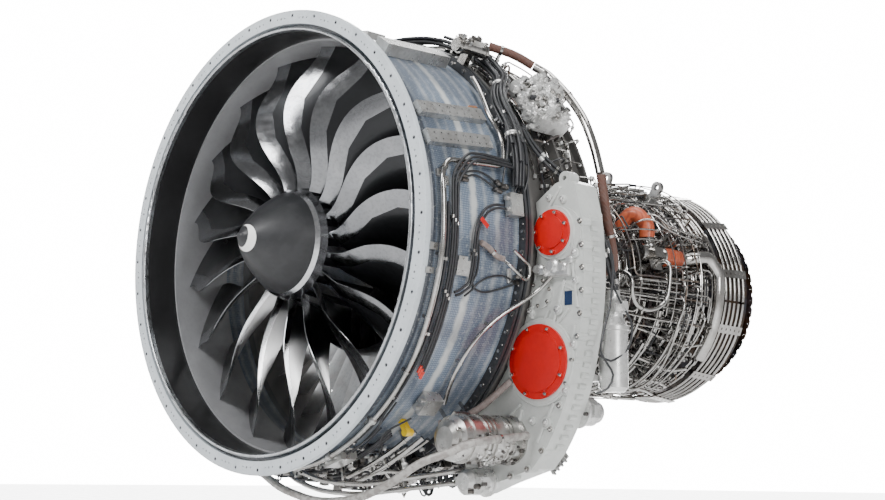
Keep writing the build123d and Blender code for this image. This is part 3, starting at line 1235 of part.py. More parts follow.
BOTTOM_ROUTE = (
    (1214, -59.8, 697), (1210, -60.2, 620), (1180, -65, 500), (1165, -69, 400), (1150, -74, 300),
    (1100, -82, 212), (1040, -90, 200), (1008, -94.4, 236),
)


def side_by_side(route, count, turn, shift):
    return [beside(route, number * turn, number * shift) for number in range(count)]


def trunk_routes():
    """The six cables of the trunk, three over three."""
    return [[(radius + lift, angle, along + shift) for radius, angle, along in TRUNK_ROUTE]
            for lift in (0, 18) for shift in (0, 19, 38)]


def loop_routes():
    return side_by_side(LOOP_ROUTE, 3, 0.8, -14)


def signal_routes():
    return side_by_side(SIGNAL_ROUTE, 2, 0.75, -13)


def pair_routes():
    return side_by_side(PAIR_ROUTE, 2, 1.2, 19)


def sense_routes():
    return [SENSE_ROUTE, [(radius, angle, along + 18) for radius, angle, along in SENSE_ROUTE[1:]]]


def drain_routes():
    low = [(radius - 30, angle, along - 26) for radius, angle, along in DRAIN_ROUTE[1:]]
    return [DRAIN_ROUTE[1:], low]


def bottom_routes():
    inner = [(radius - 30, angle + 2.6, along) for radius, angle, along in BOTTOM_ROUTE[:6]]
    return [BOTTOM_ROUTE, inner + [(1010, -86, 176)]]


HOSE_ROUTES = (
    (20, ((1122, 54, 738), (1140, 50, 830), (1136, 46.7, 902))),
    (20, ((1176, 13.4, 938), (1172, 3, 950), (1156, -2, 1000), (1100, -6, 1092), (900, -9, 1112),
          (700, -11, 1160), (530, -12, 1226), (452, -12, 1290), (452, -12, 1335.6))),
    (12, ((1000, -4.4, 346), (1000, -5.2, 390), (1000, -7.2, 447), (1000, -7.4, 485))),
    (15, OIL_ROUTE),
    (17, ((1294, -41.2, 655), (1294, -41.9, 560), (1300, -42.4, 440), (1306, -43.0, 330), (1300, -46, 250),
          (1266, -50, 190), (1262, -56, 150), (1236, -65, 128), (1170, -77, 120), (1080, -90, 124),
          (1018, -98.6, 130), (1008, -100, 162), (1008, -100, 199.4))),
)
LINK_ROUTE = (
    (1030, -10.6, 560), (1030, -11.8, 606), (1030, -10.4, 626), (1030, -8.2, 616), (1030, -6.6, 560),
    (1024, -5.2, 520),
)
RETURN_ROUTE = (
    (1136, 46.5, 902.5), (1138, 44, 958), (1146, 38.5, 966), (1160, 32.5, 958), (1174, 27, 950),
    (1176, 20, 944), (1176, 13.8, 938),
)


# Under the fan case: place along the axis, tube, first angle, last angle
CABLE_HOOPS = ((276, 6, -91, -57), (292, 6, -92, -58), (308, 6, -91, -59))
TUBE_HOOPS = ((470, 8, -128, -64), (500, 9, -120, -62), (540, 9, -146, -60))
CASE_HOOP_RADIUS = 998.0
CASE_HOOP_BRACKETS = (-66.0, -84.0, -102.0, -118.0, -136.0)


def case_hoops(places):
    return [held_hoop(CASE_HOOP_RADIUS, along, pipe, first, last, FAN_CASE_RADIUS, CASE_HOOP_BRACKETS)
            for along, pipe, first, last in places]


def make_fan_case_tubes():
    """Bent metal tubes on the fan case and the metal part of the upper hose run."""
    tubes = [
        tube(11, 60, *FEED_ROUTE),
        tube(6, 36, *SENSE_ROUTE),
        tube(20, 60, *RETURN_ROUTE),
        tube(9, 40, *BRANCH_ROUTE),
        tube(7, 24, (1002, -7.9, 493), (1024, -8.8, 504), *LINK_ROUTE),
    ]
    tubes += [tube(10, 50, *places) for places in drain_routes()]
    tubes += [tube(11, 60, *places) for places in bottom_routes()]
    return tubes + case_hoops(TUBE_HOOPS)


def make_wrapped_hoses():
    """Sleeved hoses over the gearbox, along the case and beside the generator."""
    return [tube(radius, 60, *places) for radius, places in HOSE_ROUTES]


def make_black_harness():
    """Electrical cables: the trunk over the case, its branches and the pair that goes to the core."""
    cables = [tube(8, 50, *places) for places in trunk_routes() + pair_routes()]
    cables += [tube(6, 40, *places) for places in loop_routes()]
    cables += [tube(5.5, 30, *places) for places in signal_routes()]
    cables.append(tube(6, 36, *sense_routes()[1]))
    return cables + case_hoops(CABLE_HOOPS)


def clamp(ground, pipe, runs, centre=(0.0, 0.0), wall=2.8):
    """Bands round side-by-side tubes, midway along each run, on a post from the round surface below."""
    width = 12.0
    bands = []
    bores = []
    for before, after in runs:
        start = polar(*before)
        end = polar(*after)
        heading = (end - start).normalized()
        face = Plane(origin=(start + end) * 0.5 - heading * (width / 2), z_dir=heading)
        bands.append(extrude(face * Circle(pipe + wall), width))
        longer = Plane(origin=(start + end) * 0.5 - heading * width, z_dir=heading)
        bores.append(extrude(longer * Circle(pipe + CLAMP_GAP), 2 * width))
    first = (polar(*runs[0][0]) + polar(*runs[0][1])) * 0.5
    radius = math.hypot(first.X - centre[0], first.Z - centre[1])
    angle = math.degrees(math.atan2(first.Z - centre[1], first.X - centre[0]))
    foot = ground + SEAT_GAP
    post = seated(block(12, 12, radius - pipe - (wall + CLAMP_GAP) / 2 - foot), foot, angle, first.Y)
    return Part() + bands + (Pos(centre[0], 0, centre[1]) * post) - bores


def clamp_all(ground, pipe, routes, places, wall=2.8, centre=(0.0, 0.0)):
    """Clamps round a set of routes, each after one of the numbered points."""
    return [clamp(ground, pipe, [(one[place], one[place + 1]) for one in routes], centre, wall)
            for place in places]


def make_clamps():
    """Clamps that hold the tubes, hoses and cables off the cases."""
    case = FAN_CASE_RADIUS
    rear = REAR_CASE_RADIUS
    clamps = clamp_all(case, 11, [FEED_ROUTE], (6, 7, 10, 12, 14, 16, 18))
    clamps += clamp_all(case, 6, [SENSE_ROUTE[1:], sense_routes()[1]], (1, 3, 5, 7), wall=3.4)
    clamps += clamp_all(case, 9, [BRANCH_ROUTE], (3, 5))
    clamps += clamp_all(case, 10, drain_routes()[:1], (1,)) + clamp_all(case, 10, drain_routes()[1:], (0,))
    clamps += clamp_all(case, 15, [OIL_ROUTE], (0, 1))
    clamps += clamp_all(case, 11, bottom_routes()[:1], (2,)) + clamp_all(case, 11, bottom_routes()[1:], (4,))
    clamps += clamp_all(case, 7, [LINK_ROUTE], (0,))
    clamps += clamp_all(case, 8, trunk_routes(), (6,)) + clamp_all(rear, 8, trunk_routes(), (0,))
    for one in loop_routes():
        clamps += clamp_all(case, 6, [one], (5, 7), wall=1.3)
    for one in signal_routes():
        clamps += clamp_all(case, 5.5, [one], (4,), wall=1.3)
    for one in pair_routes():
        clamps += clamp_all(rear, 8, [one], (2,))
    clamps += clamp_all(rear, 20, [HOSE_ROUTES[0][1]], (0,)) + clamp_all(rear, 20, [HOSE_ROUTES[1][1]], (1,))
    clamps += clamp_all(case, 12, [HOSE_ROUTES[2][1]], (1,)) + clamp_all(rear, 20, [RETURN_ROUTE], (2,))
    clamps += clamp_all(GENERATOR_RADIUS + 5, 17, [HOSE_ROUTES[4][1]], (1,), centre=GENERATOR_CENTRE)
    for angle, pipe, sway in CORE_PIPES:
        run = [core_pipe_route(angle, sway)]
        middle = (run[0][1][2] + run[0][2][2]) / 2
        clamps += clamp_all(high_case_radius(middle - 6), pipe, run, (1,))
        clamps += clamp_all(COMBUSTOR_CASE_BORE + CORE_WALL, pipe, run, (5,))
    return clamps


def make_caps():
    """Blanking caps on open pipe ends."""
    caps = []
    for number in range(3):
        radius, angle, along = loop_routes()[number][-1]
        caps.append(seated(Rot(0, 90, 0) * Cylinder(6.8, 34), radius, angle - 1.2, along + 1))
    low = seated(Rot(90, 0, 0) * Cylinder(17, 40), 1036, -54.5, 320)
    low += seated(block(26, 26, 1036 - FAN_CASE_RADIUS - 0.5 - 12), FAN_CASE_RADIUS + 0.5, -54.5, 320)
    caps.append(low)
    return caps


def make_drain_mast():
    """Drain plate behind the gearbox, on the back case, with its four drain tubes."""
    height = 1288.0 - REAR_CASE_RADIUS
    mast = block(120, 8, height) + Pos(0, 4, 0) * block(120, 34, 10)
    for number in range(4):
        mast += Pos(-42 + number * 28, -9, 20) * Cylinder(6, height - 6, align=(Align.CENTER, Align.CENTER, Align.MIN))
    return seated(mast, REAR_CASE_RADIUS + SEAT_GAP, -49, 1014)


def make_joint_bolts():
    """Bolt heads of the joint between the fan case and the case behind it."""
    head = extrude(RegularPolygon(8, 6), 8)
    front = FAN_CASE_END - 8
    circle = (FAN_CASE_RADIUS + JOINT_RING_RADIUS) / 2 + 2
    heads = []
    for number in range(JOINT_BOLT_COUNT):
        place = polar(circle, number * 360.0 / JOINT_BOLT_COUNT, 0)
        heads.append(Pos(place.X, front + 8, place.Z) * Rot(90, 0, 0) * head)
    return heads


# Pipes on the core

def make_fuel_manifold():
    """Fuel ring round the combustor with a branch to each nozzle pad."""
    foot = COMBUSTOR_CASE_BORE + CORE_WALL + SEAT_GAP
    circle = foot + 40
    branch = Pos(0, NOZZLE_PLACE, foot) * Cylinder(6, circle - foot, align=(Align.CENTER, Align.CENTER, Align.MIN))
    pad = Pos(0, NOZZLE_PLACE, foot) * block(34, 34, 9)
    return hoop(circle, NOZZLE_PLACE, 9, 5, 360) + [
        spun(branch + pad, number * 360.0 / NOZZLE_COUNT) for number in range(NOZZLE_COUNT)]


def make_air_manifolds():
    """Cooling-air pipes that ring the core, open where the bleed valve stands."""
    case = COMBUSTOR_CASE_BORE + CORE_WALL
    arcs = []
    for radius, along, pipe, start, span in (
            (462, 1930, 12, 36, 310), (500, 2080, 13, 56, 290), (520, 2205, 11, 52, 290), (548, 2478, 12, 30, 320)):
        arc = hoop(radius, along, pipe, start, span)
        ground = case if along < COMBUSTOR_CASE_BACK else 470.5
        post = seated(block(16, 16, radius - ground - SEAT_GAP), ground + SEAT_GAP, 0, along)
        for turn in (60, 140, 220, 300):
            arc += spun(post, turn)
        arcs.append(arc)
    return arcs


CORE_PIPES = (
    (52, 9, -3), (66, 7, -4), (78, 11, 5), (104, 8, -5), (132, 10, 4), (152, 8, -4), (176, 11, 5), (188, 7, 3),
    (200, 8, 3), (213, 10, 3), (226, 10, -4), (238, 7, 3), (250, 8, 4), (262, 10, 3), (274, 11, -5), (286, 8, 4),
    (296, 8, 4), (312, 9, -3), (328, 7, -3),
)

# Tubes round the core, outside the pipes: radius, place along the axis, tube, first angle, last angle
CORE_HOOPS = (
    (476, 1345, 7, 190, 324), (478, 1372, 9, 228, 335), (479, 1475, 8, 190, 324), (486, 1604, 7, 215, 334),
    (491, 1628, 7, 190, 309), (503, 1700, 8, 228, 334), (523, 1956, 9, 190, 334), (520, 1905, 7, 225, 324),
    (546, 2020, 8, 190, 334), (563, 2110, 9, 228, 324), (567, 2168, 7, 190, 309), (582, 2290, 8, 190, 334),
)
HOOP_BRACKETS = (194.0, 232.5, 304.5, 320.0)


def core_pipe_route(angle, sway):
    return (
        (430, angle, REAR_CASE_END + FLANGE_PLATE + 60), (452, angle + sway, 1260), (458, angle + sway, 1560),
        (496, angle, 1800), (500, angle - sway, 1960), (534, angle - sway, 2050), (552, angle, 2240),
        (582, angle + sway, 2440), (586, angle, 2560),
    )


def make_core_pipes():
    """Pipes and conduits that climb along the core from the frame to the turbine."""
    return [tube(pipe, 60, *core_pipe_route(angle, sway)) for angle, pipe, sway in CORE_PIPES]


def core_case_radius(along):
    """Outside radius of the core's case at a place along the axis."""
    if along < HIGH_CASE_BACK:
        return high_case_radius(along)
    if along < COMBUSTOR_CASE_BACK:
        return COMBUSTOR_CASE_BORE + CORE_WALL
    return HIGH_TURBINE_BORE + CORE_WALL


def make_core_hoops():
    """Tubes that run round the core outside the pipes, each on brackets from the case."""
    return [held_hoop(radius, along, pipe, first, last, core_case_radius(along - 7), HOOP_BRACKETS)
            for radius, along, pipe, first, last in CORE_HOOPS]


# Files, one for each node

def make_fan_blades():
    """Fan blades and their bonded leading edges, as two rows of solids."""
    body, edge = make_blade()
    places = [BLADE_FIRST_ANGLE - 90 + number * 360.0 / BLADE_COUNT for number in range(BLADE_COUNT)]
    return [spun(body, place) for place in places], [spun(edge, place) for place in places]


def save(name, shape):
    """Write one node's file; a list is written as separate solids."""
    if isinstance(shape, list):
        shape = Compound(children=shape)
    export_step(shape, f"parts/{name}.step")


os.makedirs("parts", exist_ok=True)

blade_bodies, blade_edges = make_fan_blades()
save("fan_blades", blade_bodies)
save("blade_edges", blade_edges)
for gear_number in range(STAR_COUNT):
    save(f"star_gear_{gear_number + 1}", make_star_gear(gear_number))

NODES = {
    "front_flange": make_front_flange,
    "inlet_lip": make_inlet_lip,
    "acoustic_liner": make_acoustic_liner,
    "rub_strip": make_rub_strip,
    "fan_case": make_fan_case,
    "fan_case_joint": make_joint_ring,
    "intermediate_case": make_intermediate_case,
    "exit_guide_vanes": make_guide_vanes,
    "spinner": make_spinner,
    "nose_ring": make_nose_ring,
    "fan_hub": make_fan_hub,
    "ring_gear": make_ring_gear,
    "sun_gear": make_sun_gear,
    "gear_carrier": make_gear_carrier,
    "bearing_support": lambda: [make_bearing_support()] + make_fan_bearings(),
    "core_splitter": make_core_splitter,
    "low_compressor_case": make_low_compressor_case,
    "core_frame": make_core_frame,
    "high_compressor_case": make_high_compressor_case,
    "combustor_case": make_combustor_case,
    "combustor_liner": make_combustor_liner,
    "fuel_nozzles": make_fuel_nozzles,
    "turbine_case": make_turbine_case,
    "turbine_frame": make_turbine_frame,
    "exhaust_case": make_exhaust_case,
    "low_compressor_rotor": make_low_compressor_rotor,
    "low_shaft": make_low_shaft,
    "low_turbine_rotor": make_low_turbine_rotor,
    "high_compressor_rotor": make_high_compressor_rotor,
    "high_turbine_rotor": make_high_turbine_rotor,
    "vane_ring": make_vane_ring,
    "gearbox_housing": make_gearbox,
    "pad_covers": make_pad_covers,
    "generator": make_generator,
    "gearbox_pumps": lambda: [make_front_pump(), make_back_pump()],
    "oil_filter": make_oil_tank,
    "fuel_control": make_fuel_control,
    "vent_valve": make_vent_valve,
    "channel_brackets": make_channel_brackets,
    "junction_boxes": make_junction_boxes,
    "fan_case_tubes": make_fan_case_tubes,
    "wrapped_hoses": make_wrapped_hoses,
    "black_harness": make_black_harness,
    "clamps_and_bolts": lambda: make_clamps() + make_joint_bolts(),
    "caps": make_caps,
    "drain_mast": make_drain_mast,
    "turbine_cooling": lambda: make_turbine_cooling() + make_exhaust_probes(),
    "core_valves": lambda: [make_bleed_valve(), make_vane_actuator(), make_heat_exchanger()],
    "duct_sleeves": make_duct_sleeves,
    "bleed_duct": make_bleed_duct,
    "core_pipes": lambda: [make_fuel_manifold()] + make_air_manifolds() + make_core_pipes()
    + make_core_hoops(),
    "front_mount": make_front_mount,
    "rear_mount": make_rear_mount,
}
for node, make in NODES.items():
    save(node, make())
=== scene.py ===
import bpy
import json
import math
import random
from mathutils import Matrix, Vector
from mathutils.bvhtree import BVHTree
from mathutils.kdtree import KDTree


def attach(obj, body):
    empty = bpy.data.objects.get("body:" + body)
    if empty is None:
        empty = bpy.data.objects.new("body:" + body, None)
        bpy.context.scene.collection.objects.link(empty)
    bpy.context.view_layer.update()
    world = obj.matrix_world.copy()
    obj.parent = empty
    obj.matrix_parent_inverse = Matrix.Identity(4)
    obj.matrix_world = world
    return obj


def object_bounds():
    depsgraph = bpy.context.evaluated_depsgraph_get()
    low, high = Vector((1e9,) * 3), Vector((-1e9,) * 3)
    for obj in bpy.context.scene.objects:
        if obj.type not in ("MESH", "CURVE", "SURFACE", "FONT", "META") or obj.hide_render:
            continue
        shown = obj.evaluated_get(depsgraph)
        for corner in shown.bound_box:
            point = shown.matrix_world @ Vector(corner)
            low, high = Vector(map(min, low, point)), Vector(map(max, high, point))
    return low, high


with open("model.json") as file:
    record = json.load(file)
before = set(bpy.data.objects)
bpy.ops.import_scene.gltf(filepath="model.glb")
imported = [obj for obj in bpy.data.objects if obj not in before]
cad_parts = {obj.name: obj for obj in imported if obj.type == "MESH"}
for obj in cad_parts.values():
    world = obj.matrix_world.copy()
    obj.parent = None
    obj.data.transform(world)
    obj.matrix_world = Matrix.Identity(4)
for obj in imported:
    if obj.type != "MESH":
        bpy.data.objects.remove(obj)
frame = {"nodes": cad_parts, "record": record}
size_before = [list(corner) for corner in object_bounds()]

# The engine axis is Y, the intake faces -Y and up is +Z. Angles about the axis are in degrees from +X
# towards +Z, and all sizes are in metres. Places on the engine are written (radius, angle, along the axis).

ROOT = "engine_frame"
FORWARD = Vector((0, -1, 0))
AFT = Vector((0, 1, 0))

# How deep the foot of a small piece stands in the surface that carries it
SUNK = 0.001

# How far the end of a fine pipe goes into the case
PIPE_END = 0.002


# Materials

def feed(tree, node, inputs):
    """Gives a node's inputs their values, or the outputs of other nodes."""
    for key, value in inputs.items():
        if isinstance(value, bpy.types.NodeSocket):
            tree.links.new(value, node.inputs[key])
        else:
            node.inputs[key].default_value = value


def add_node(tree, kind, inputs, **settings):
    node = tree.nodes.new(kind)
    for key, value in settings.items():
        setattr(node, key, value)
    feed(tree, node, inputs)
    return node


class Shader:
    """A principled material, whose inputs are values or grow node by node."""

    def __init__(self, name, color, metallic, roughness, coat=0.0):
        self.material = bpy.data.materials.new(name)
        self.material.use_nodes = True
        self.tree = self.material.node_tree
        self.place = self.tree.nodes.new("ShaderNodeTexCoord").outputs["Object"]
        self.color = (*color, 1)
        self.metallic = metallic
        self.rough = roughness
        self.coat = coat

    def math(self, operation, first, second=0.0):
        return add_node(self.tree, "ShaderNodeMath", {0: first, 1: second}, operation=operation).outputs[0]

    def product(self, first, *others):
        for value in others:
            first = self.math("MULTIPLY", first, value)
        return first

    def total(self, first, *others):
        for value in others:
            first = self.math("ADD", first, value)
        return first

    def noise(self, scale, detail, stretch=(1, 1, 1)):
        place = add_node(self.tree, "ShaderNodeMapping", {"Vector": self.place, "Scale": stretch}).outputs[0]
        inputs = {"Vector": place, "Scale": scale, "Detail": detail}
        return add_node(self.tree, "ShaderNodeTexNoise", inputs).outputs["Fac"]

    def wave(self, value, rate):
        """A zigzag between 0 and 1."""
        return self.math("PINGPONG", self.product(value, rate), 1)

    def ramp(self, value, edge, soft, first, last):
        inputs = {"Value": value, "From Min": edge - soft / 2, "From Max": edge + soft / 2, "To Min": first,
                  "To Max": last}
        return add_node(self.tree, "ShaderNodeMapRange", inputs, interpolation_type="SMOOTHSTEP").outputs[0]

    def band(self, value, low, high, soft):
        """1 between low and high, fading to 0 over the soft distance."""
        return self.product(self.ramp(value, low, soft, 0, 1), self.ramp(value, high, soft, 1, 0))

    def squares(self, first, second):
        return self.total(self.product(first, first), self.product(second, second))

    def axes(self):
        return add_node(self.tree, "ShaderNodeSeparateXYZ", {0: self.place}).outputs

    def around(self, across=0.0, upward=0.0):
        """Distance from a line along the engine, and the angle about it in radians."""
        x, _, z = self.axes()
        x = self.math("SUBTRACT", x, across)
        z = self.math("SUBTRACT", z, upward)
        return self.math("SQRT", self.squares(x, z)), self.math("ARCTAN2", z, x)

    def tint(self, mask, color, amount):
        """Mixes a colour in where the mask is 1."""
        inputs = {"Factor": self.product(mask, amount), "A": self.color, "B": (*color, 1)}
        self.color = add_node(self.tree, "ShaderNodeMix", inputs, data_type="RGBA").outputs["Result"]
        return self

    def mottle(self, scale, low, high, color, amount):
        """Patches of another colour from noise between two levels."""
        return self.tint(self.band(self.noise(scale, 5), low, high + 1, high - low), color, amount)

    def wear(self, scale, spread, stretch=(1, 1, 1)):
        """Uneven roughness."""
        uneven = self.math("SUBTRACT", self.noise(scale, 6, stretch), 0.5)
        self.rough = self.total(self.rough, self.product(uneven, spread * 2))
        return self

    def done(self, height=None, distance=0.0, strength=0.0):
        """The material, with everything joined to its surface."""
        inputs = {"Base Color": self.color, "Metallic": self.metallic, "Roughness": self.rough,
                  "Coat Weight": self.coat, "Coat Roughness": 0.12}
        if height:
            bump = {"Height": height, "Distance": distance, "Strength": strength}
            inputs["Normal"] = add_node(self.tree, "ShaderNodeBump", bump).outputs[0]
        feed(self.tree, self.tree.nodes["Principled BSDF"], inputs)
        return self.material

    def grained(self, scale, detail, distance, strength, stretch=(1, 1, 1)):
        """The material, with noise as its bump."""
        return self.done(self.noise(scale, detail, stretch), distance, strength)


def painted(name, color, roughness, coat=0.15):
    """Sprayed casting or sheet: orange peel, faint grime and uneven gloss."""
    grime = tuple(value * 0.72 for value in color)
    shader = Shader(name, color, 0.0, roughness, coat).mottle(7, 0.5, 0.72, grime, 0.35)
    return shader.mottle(60, 0.55, 0.75, grime, 0.18).wear(14, 0.08).grained(420, 2, 0.0006, 0.35)


def metal(name, color, roughness, stain=(0.12, 0.09, 0.06), stained=0.25, grain=(1, 1, 1), metallic=1.0):
    """Bare metal: grain, stains and uneven polish."""
    dull = tuple(value * 0.6 for value in color)
    shader = Shader(name, color, metallic, roughness).mottle(11, 0.52, 0.74, stain, stained)
    return shader.mottle(70, 0.55, 0.7, dull, 0.3).wear(30, 0.14, grain).grained(300, 3, 0.0004, 0.4, grain)


def heated(name, color, roughness):
    """Hot-section alloy: brown, straw and blue stains."""
    shader = Shader(name, color, 1.0, roughness)
    shader.mottle(5, 0.45, 0.65, (0.16, 0.09, 0.05), 0.6).mottle(9, 0.5, 0.62, (0.1, 0.12, 0.18), 0.35)
    return shader.mottle(40, 0.5, 0.72, (0.05, 0.045, 0.04), 0.6).wear(18, 0.18).grained(180, 4, 0.0008, 0.5)


def rubbery(name, color, roughness):
    """Cable jacket: dusty patches and a fine grain."""
    dusty = tuple(value * 0.55 + 0.02 for value in color)
    shader = Shader(name, color, 0.0, roughness)
    return shader.mottle(35, 0.5, 0.75, dusty, 0.4).wear(40, 0.15).grained(700, 2, 0.0004, 0.5)


# Fan case: where each pale hoop band starts, how wide it is and how strongly it shows
CASE_BANDS = ((0.135, 0.01, 0.25), (0.205, 0.022, 0.4), (0.262, 0.012, 0.3), (0.325, 0.036, 0.85),
              (0.405, 0.014, 0.35), (0.47, 0.026, 0.45), (0.535, 0.012, 0.35), (0.585, 0.02, 0.4))
DARK_BAND_END = 0.112

# Front flange: holes in each of its two rows, and each row's radius, shift and size of the painted shade on
# its holes
FLANGE_HOLES = 40
FLANGE_SHADE_ROWS = ((1.005, 0.0, 0.0078), (0.996, 0.5, 0.005))


def make_case_material():
    """Woven composite: blue-grey cloth, pale hoop bands and a dark band behind the flange."""
    shader = Shader("woven_composite", (0.088, 0.122, 0.175), 0.0, 0.42, 0.25)
    _, along, _ = shader.axes()
    _, angle = shader.around()
    weave = shader.product(shader.wave(along, 210), shader.wave(angle, 200))
    shader.tint(weave, (0.4, 0.455, 0.53), 0.66)
    frayed = shader.total(along, shader.product(shader.noise(26, 5), 0.03))
    for place, width, amount in CASE_BANDS:
        shader.tint(shader.band(frayed, place, place + width, 0.022), (0.56, 0.575, 0.56), amount)
    shader.tint(shader.band(along, 0.0, DARK_BAND_END, 0.01), (0.02, 0.022, 0.026), 0.85)
    shader.mottle(5, 0.5, 0.7, (0.03, 0.04, 0.06), 0.5).mottle(90, 0.62, 0.7, (0.45, 0.46, 0.45), 0.3)
    shader.wear(20, 0.1)
    return shader.done(weave, 0.0008, 0.6)


def make_spinner_material():
    """Dark cone with a white crescent at its tip."""
    shader = Shader("spinner_paint", (0.013, 0.014, 0.016), 0.0, 0.46, 0.05)
    outer = shader.band(shader.around(0.006, -0.004)[0], -1, 0.06, 0.001)
    inner = shader.band(shader.around(-0.01, 0.004)[0], 0.048, 1, 0.001)
    shader.mottle(14, 0.5, 0.7, (0.03, 0.03, 0.034), 0.4).wear(12, 0.07)
    shader.tint(shader.product(outer, inner), (0.9, 0.9, 0.88), 1.0)
    return shader.grained(500, 2, 0.0003, 0.3)


def make_blade_material():
    """Dark coated blade face with faint cloudy wear."""
    shader = Shader("blade_coating", (0.017, 0.018, 0.02), 0.6, 0.3, 0.15)
    shader.mottle(5, 0.45, 0.75, (0.02, 0.021, 0.024), 0.35).wear(8, 0.06, (1, 0.2, 1))
    return shader.grained(260, 3, 0.0003, 0.25, (1, 0.1, 1))


def make_flange_material():
    """Pale primer with painted shade in and round the two rows of bolt and pin holes."""
    shader = Shader("flange_primer", (0.56, 0.605, 0.64), 0.0, 0.33, 0.15)
    radius, angle = shader.around()
    holes = shader.product(angle, FLANGE_HOLES / (2 * math.pi))
    for circle, phase, size in FLANGE_SHADE_ROWS:
        offset = shader.math("SUBTRACT", shader.math("FRACT", shader.total(holes, 100.5 + phase)), 0.5)
        across = shader.product(offset, 2 * math.pi * circle / FLANGE_HOLES)
        far = shader.squares(across, shader.math("SUBTRACT", radius, circle))
        # A dark disc on each hole is painted shade, standing in for the shadow in and round the hole
        shader.tint(shader.band(far, -1, size ** 2, size ** 2 * 0.5), (0.045, 0.048, 0.055), 0.9)
    shader.mottle(7, 0.52, 0.74, (0.42, 0.46, 0.49), 0.35).mottle(80, 0.62, 0.75, (0.3, 0.32, 0.34), 0.3)
    return shader.wear(14, 0.08).grained(420, 2, 0.0006, 0.35)


# Hoses: rises and falls of their slanting wraps in a metre, where they have taupe cloth, and where braid
WRAPS = 150
TAUPE_RADII = (0.9, 1.07)
TAUPE_END = 0.7
BRAID_TOP = -0.832

# Caps below this height are yellow
YELLOW_TOP = -0.7


def make_hose_material():
    """Hose sleeves: brown tape at the back, taupe cloth on the fan case and steel braid by the generator."""
    shader = Shader("hose_sleeve", (0.08, 0.027, 0.016), 0.0, 0.62)
    x, along, z = shader.axes()
    radius, _ = shader.around()
    slant = (shader.product(value, WRAPS * share) for value, share in ((along, 1), (z, 0.73), (x, 0.27)))
    rib = shader.math("PINGPONG", shader.total(*slant), 1)
    shader.tint(rib, (0.14, 0.07, 0.05), 0.4)
    on_case = shader.band(radius, *TAUPE_RADII, 0.002)
    in_front = shader.band(along, -1, TAUPE_END, 0.002)
    below = shader.band(z, -2, 0.0, 0.002)
    shader.tint(shader.product(on_case, in_front, below), (0.25, 0.21, 0.195), 0.9)
    steel = shader.band(z, -2, BRAID_TOP, 0.002)
    shader.tint(steel, (0.52, 0.51, 0.49), 0.92)
    shader.metallic = steel
    shader.mottle(45, 0.5, 0.7, (0.09, 0.06, 0.05), 0.35).wear(30, 0.12)
    return shader.done(rib, 0.0012, 0.6)


def make_cap_material():
    """Moulded caps: red, with the low one yellow."""
    shader = Shader("cap_plastic", (0.6, 0.028, 0.016), 0.0, 0.32, 0.4)
    _, _, z = shader.axes()
    shader.tint(shader.band(z, -2, YELLOW_TOP, 0.002), (0.8, 0.56, 0.01), 1.0)
    return shader.mottle(30, 0.5, 0.75, (0.35, 0.05, 0.02), 0.25).wear(14, 0.08).grained(420, 2, 0.0005, 0.3)


def make_silicone_material():
    """Orange-red silicone over cloth, with fine hoops."""
    shader = Shader("silicone_cloth", (0.5, 0.105, 0.04), 0.0, 0.42, 0.2)
    _, along, _ = shader.axes()
    hoop = shader.wave(along, 130)
    shader.tint(shader.band(hoop, 0.0, 0.28, 0.2), (0.22, 0.035, 0.018), 0.7)
    shader.mottle(40, 0.5, 0.7, (0.34, 0.06, 0.03), 0.5)
    return shader.done(hoop, 0.001, 0.5)


paints = {
    "flange_paint": make_flange_material(),
    "lip_metal": metal("lip_aluminium", (0.48, 0.5, 0.52), 0.3, grain=(1, 8, 1)),
    "liner": painted("liner_resin", (0.011, 0.011, 0.012), 0.42, 0.15),
    "rub_strip": painted("rub_strip_resin", (0.31, 0.313, 0.325), 0.34, 0.3),
    "fan_case_composite": make_case_material(),
    "dark_joint": painted("joint_paint", (0.028, 0.03, 0.034), 0.4),
    "rear_case_paint": painted("rear_case_paint", (0.085, 0.082, 0.078), 0.45),
    "vane_metal": metal("vane_aluminium", (0.3, 0.31, 0.32), 0.34),
    "spinner_paint": make_spinner_material(),
    "ring_metal": metal("hub_metal", (0.66, 0.67, 0.69), 0.15, stained=0.1),
    "blade_body": make_blade_material(),
    "blade_edge": metal("polished_titanium", (0.23, 0.235, 0.245), 0.17, (0.4, 0.4, 0.4), 0.15, (1, 0.2, 1)),
    "gear_steel": metal("gear_steel", (0.45, 0.45, 0.46), 0.26),
    "inner_casting": metal("inner_casting", (0.28, 0.28, 0.28), 0.42),
    "rotor_alloy": metal("rotor_alloy", (0.34, 0.33, 0.32), 0.34),
    "core_case": heated("core_case_alloy", (0.045, 0.04, 0.036), 0.42),
    "combustor_alloy": heated("combustor_alloy", (0.3, 0.26, 0.22), 0.42),
    "bright_metal": metal("bright_steel", (0.5, 0.49, 0.475), 0.14, stained=0.3),
    "gearbox_casting": painted("gearbox_paint", (0.545, 0.56, 0.54), 0.36, 0.25),
    "cover_red": painted("cover_enamel", (0.56, 0.004, 0.002), 0.34, 0.12),
    "accessory_casting": metal("cast_aluminium", (0.76, 0.76, 0.75), 0.3, (0.2, 0.19, 0.17), 0.25,
                               metallic=0.78),
    "generator_paint": metal("generator_casting", (0.6, 0.59, 0.57), 0.3, (0.1, 0.09, 0.08), 0.4),
    "bracket_metal": metal("bracket_sheet", (0.54, 0.54, 0.53), 0.3, metallic=0.8),
    "wrapped_sleeve": make_hose_material(),
    "silicone_sleeve": make_silicone_material(),
    "black_cable": rubbery("cable_jacket", (0.014, 0.015, 0.018), 0.42),
    "cap_plastic": make_cap_material(),
    "mount_metal": metal("mount_steel", (0.36, 0.36, 0.36), 0.32),
}
plate_ink = painted("plate_ink", (0.012, 0.03, 0.085), 0.3, 0.3)
dark_metal = metal("dark_fastener", (0.16, 0.155, 0.15), 0.36)
dull_metal = heated("dull_pipe", (0.34, 0.31, 0.28), 0.32)
copper_metal = metal("copper_clip", (0.62, 0.3, 0.17), 0.34)

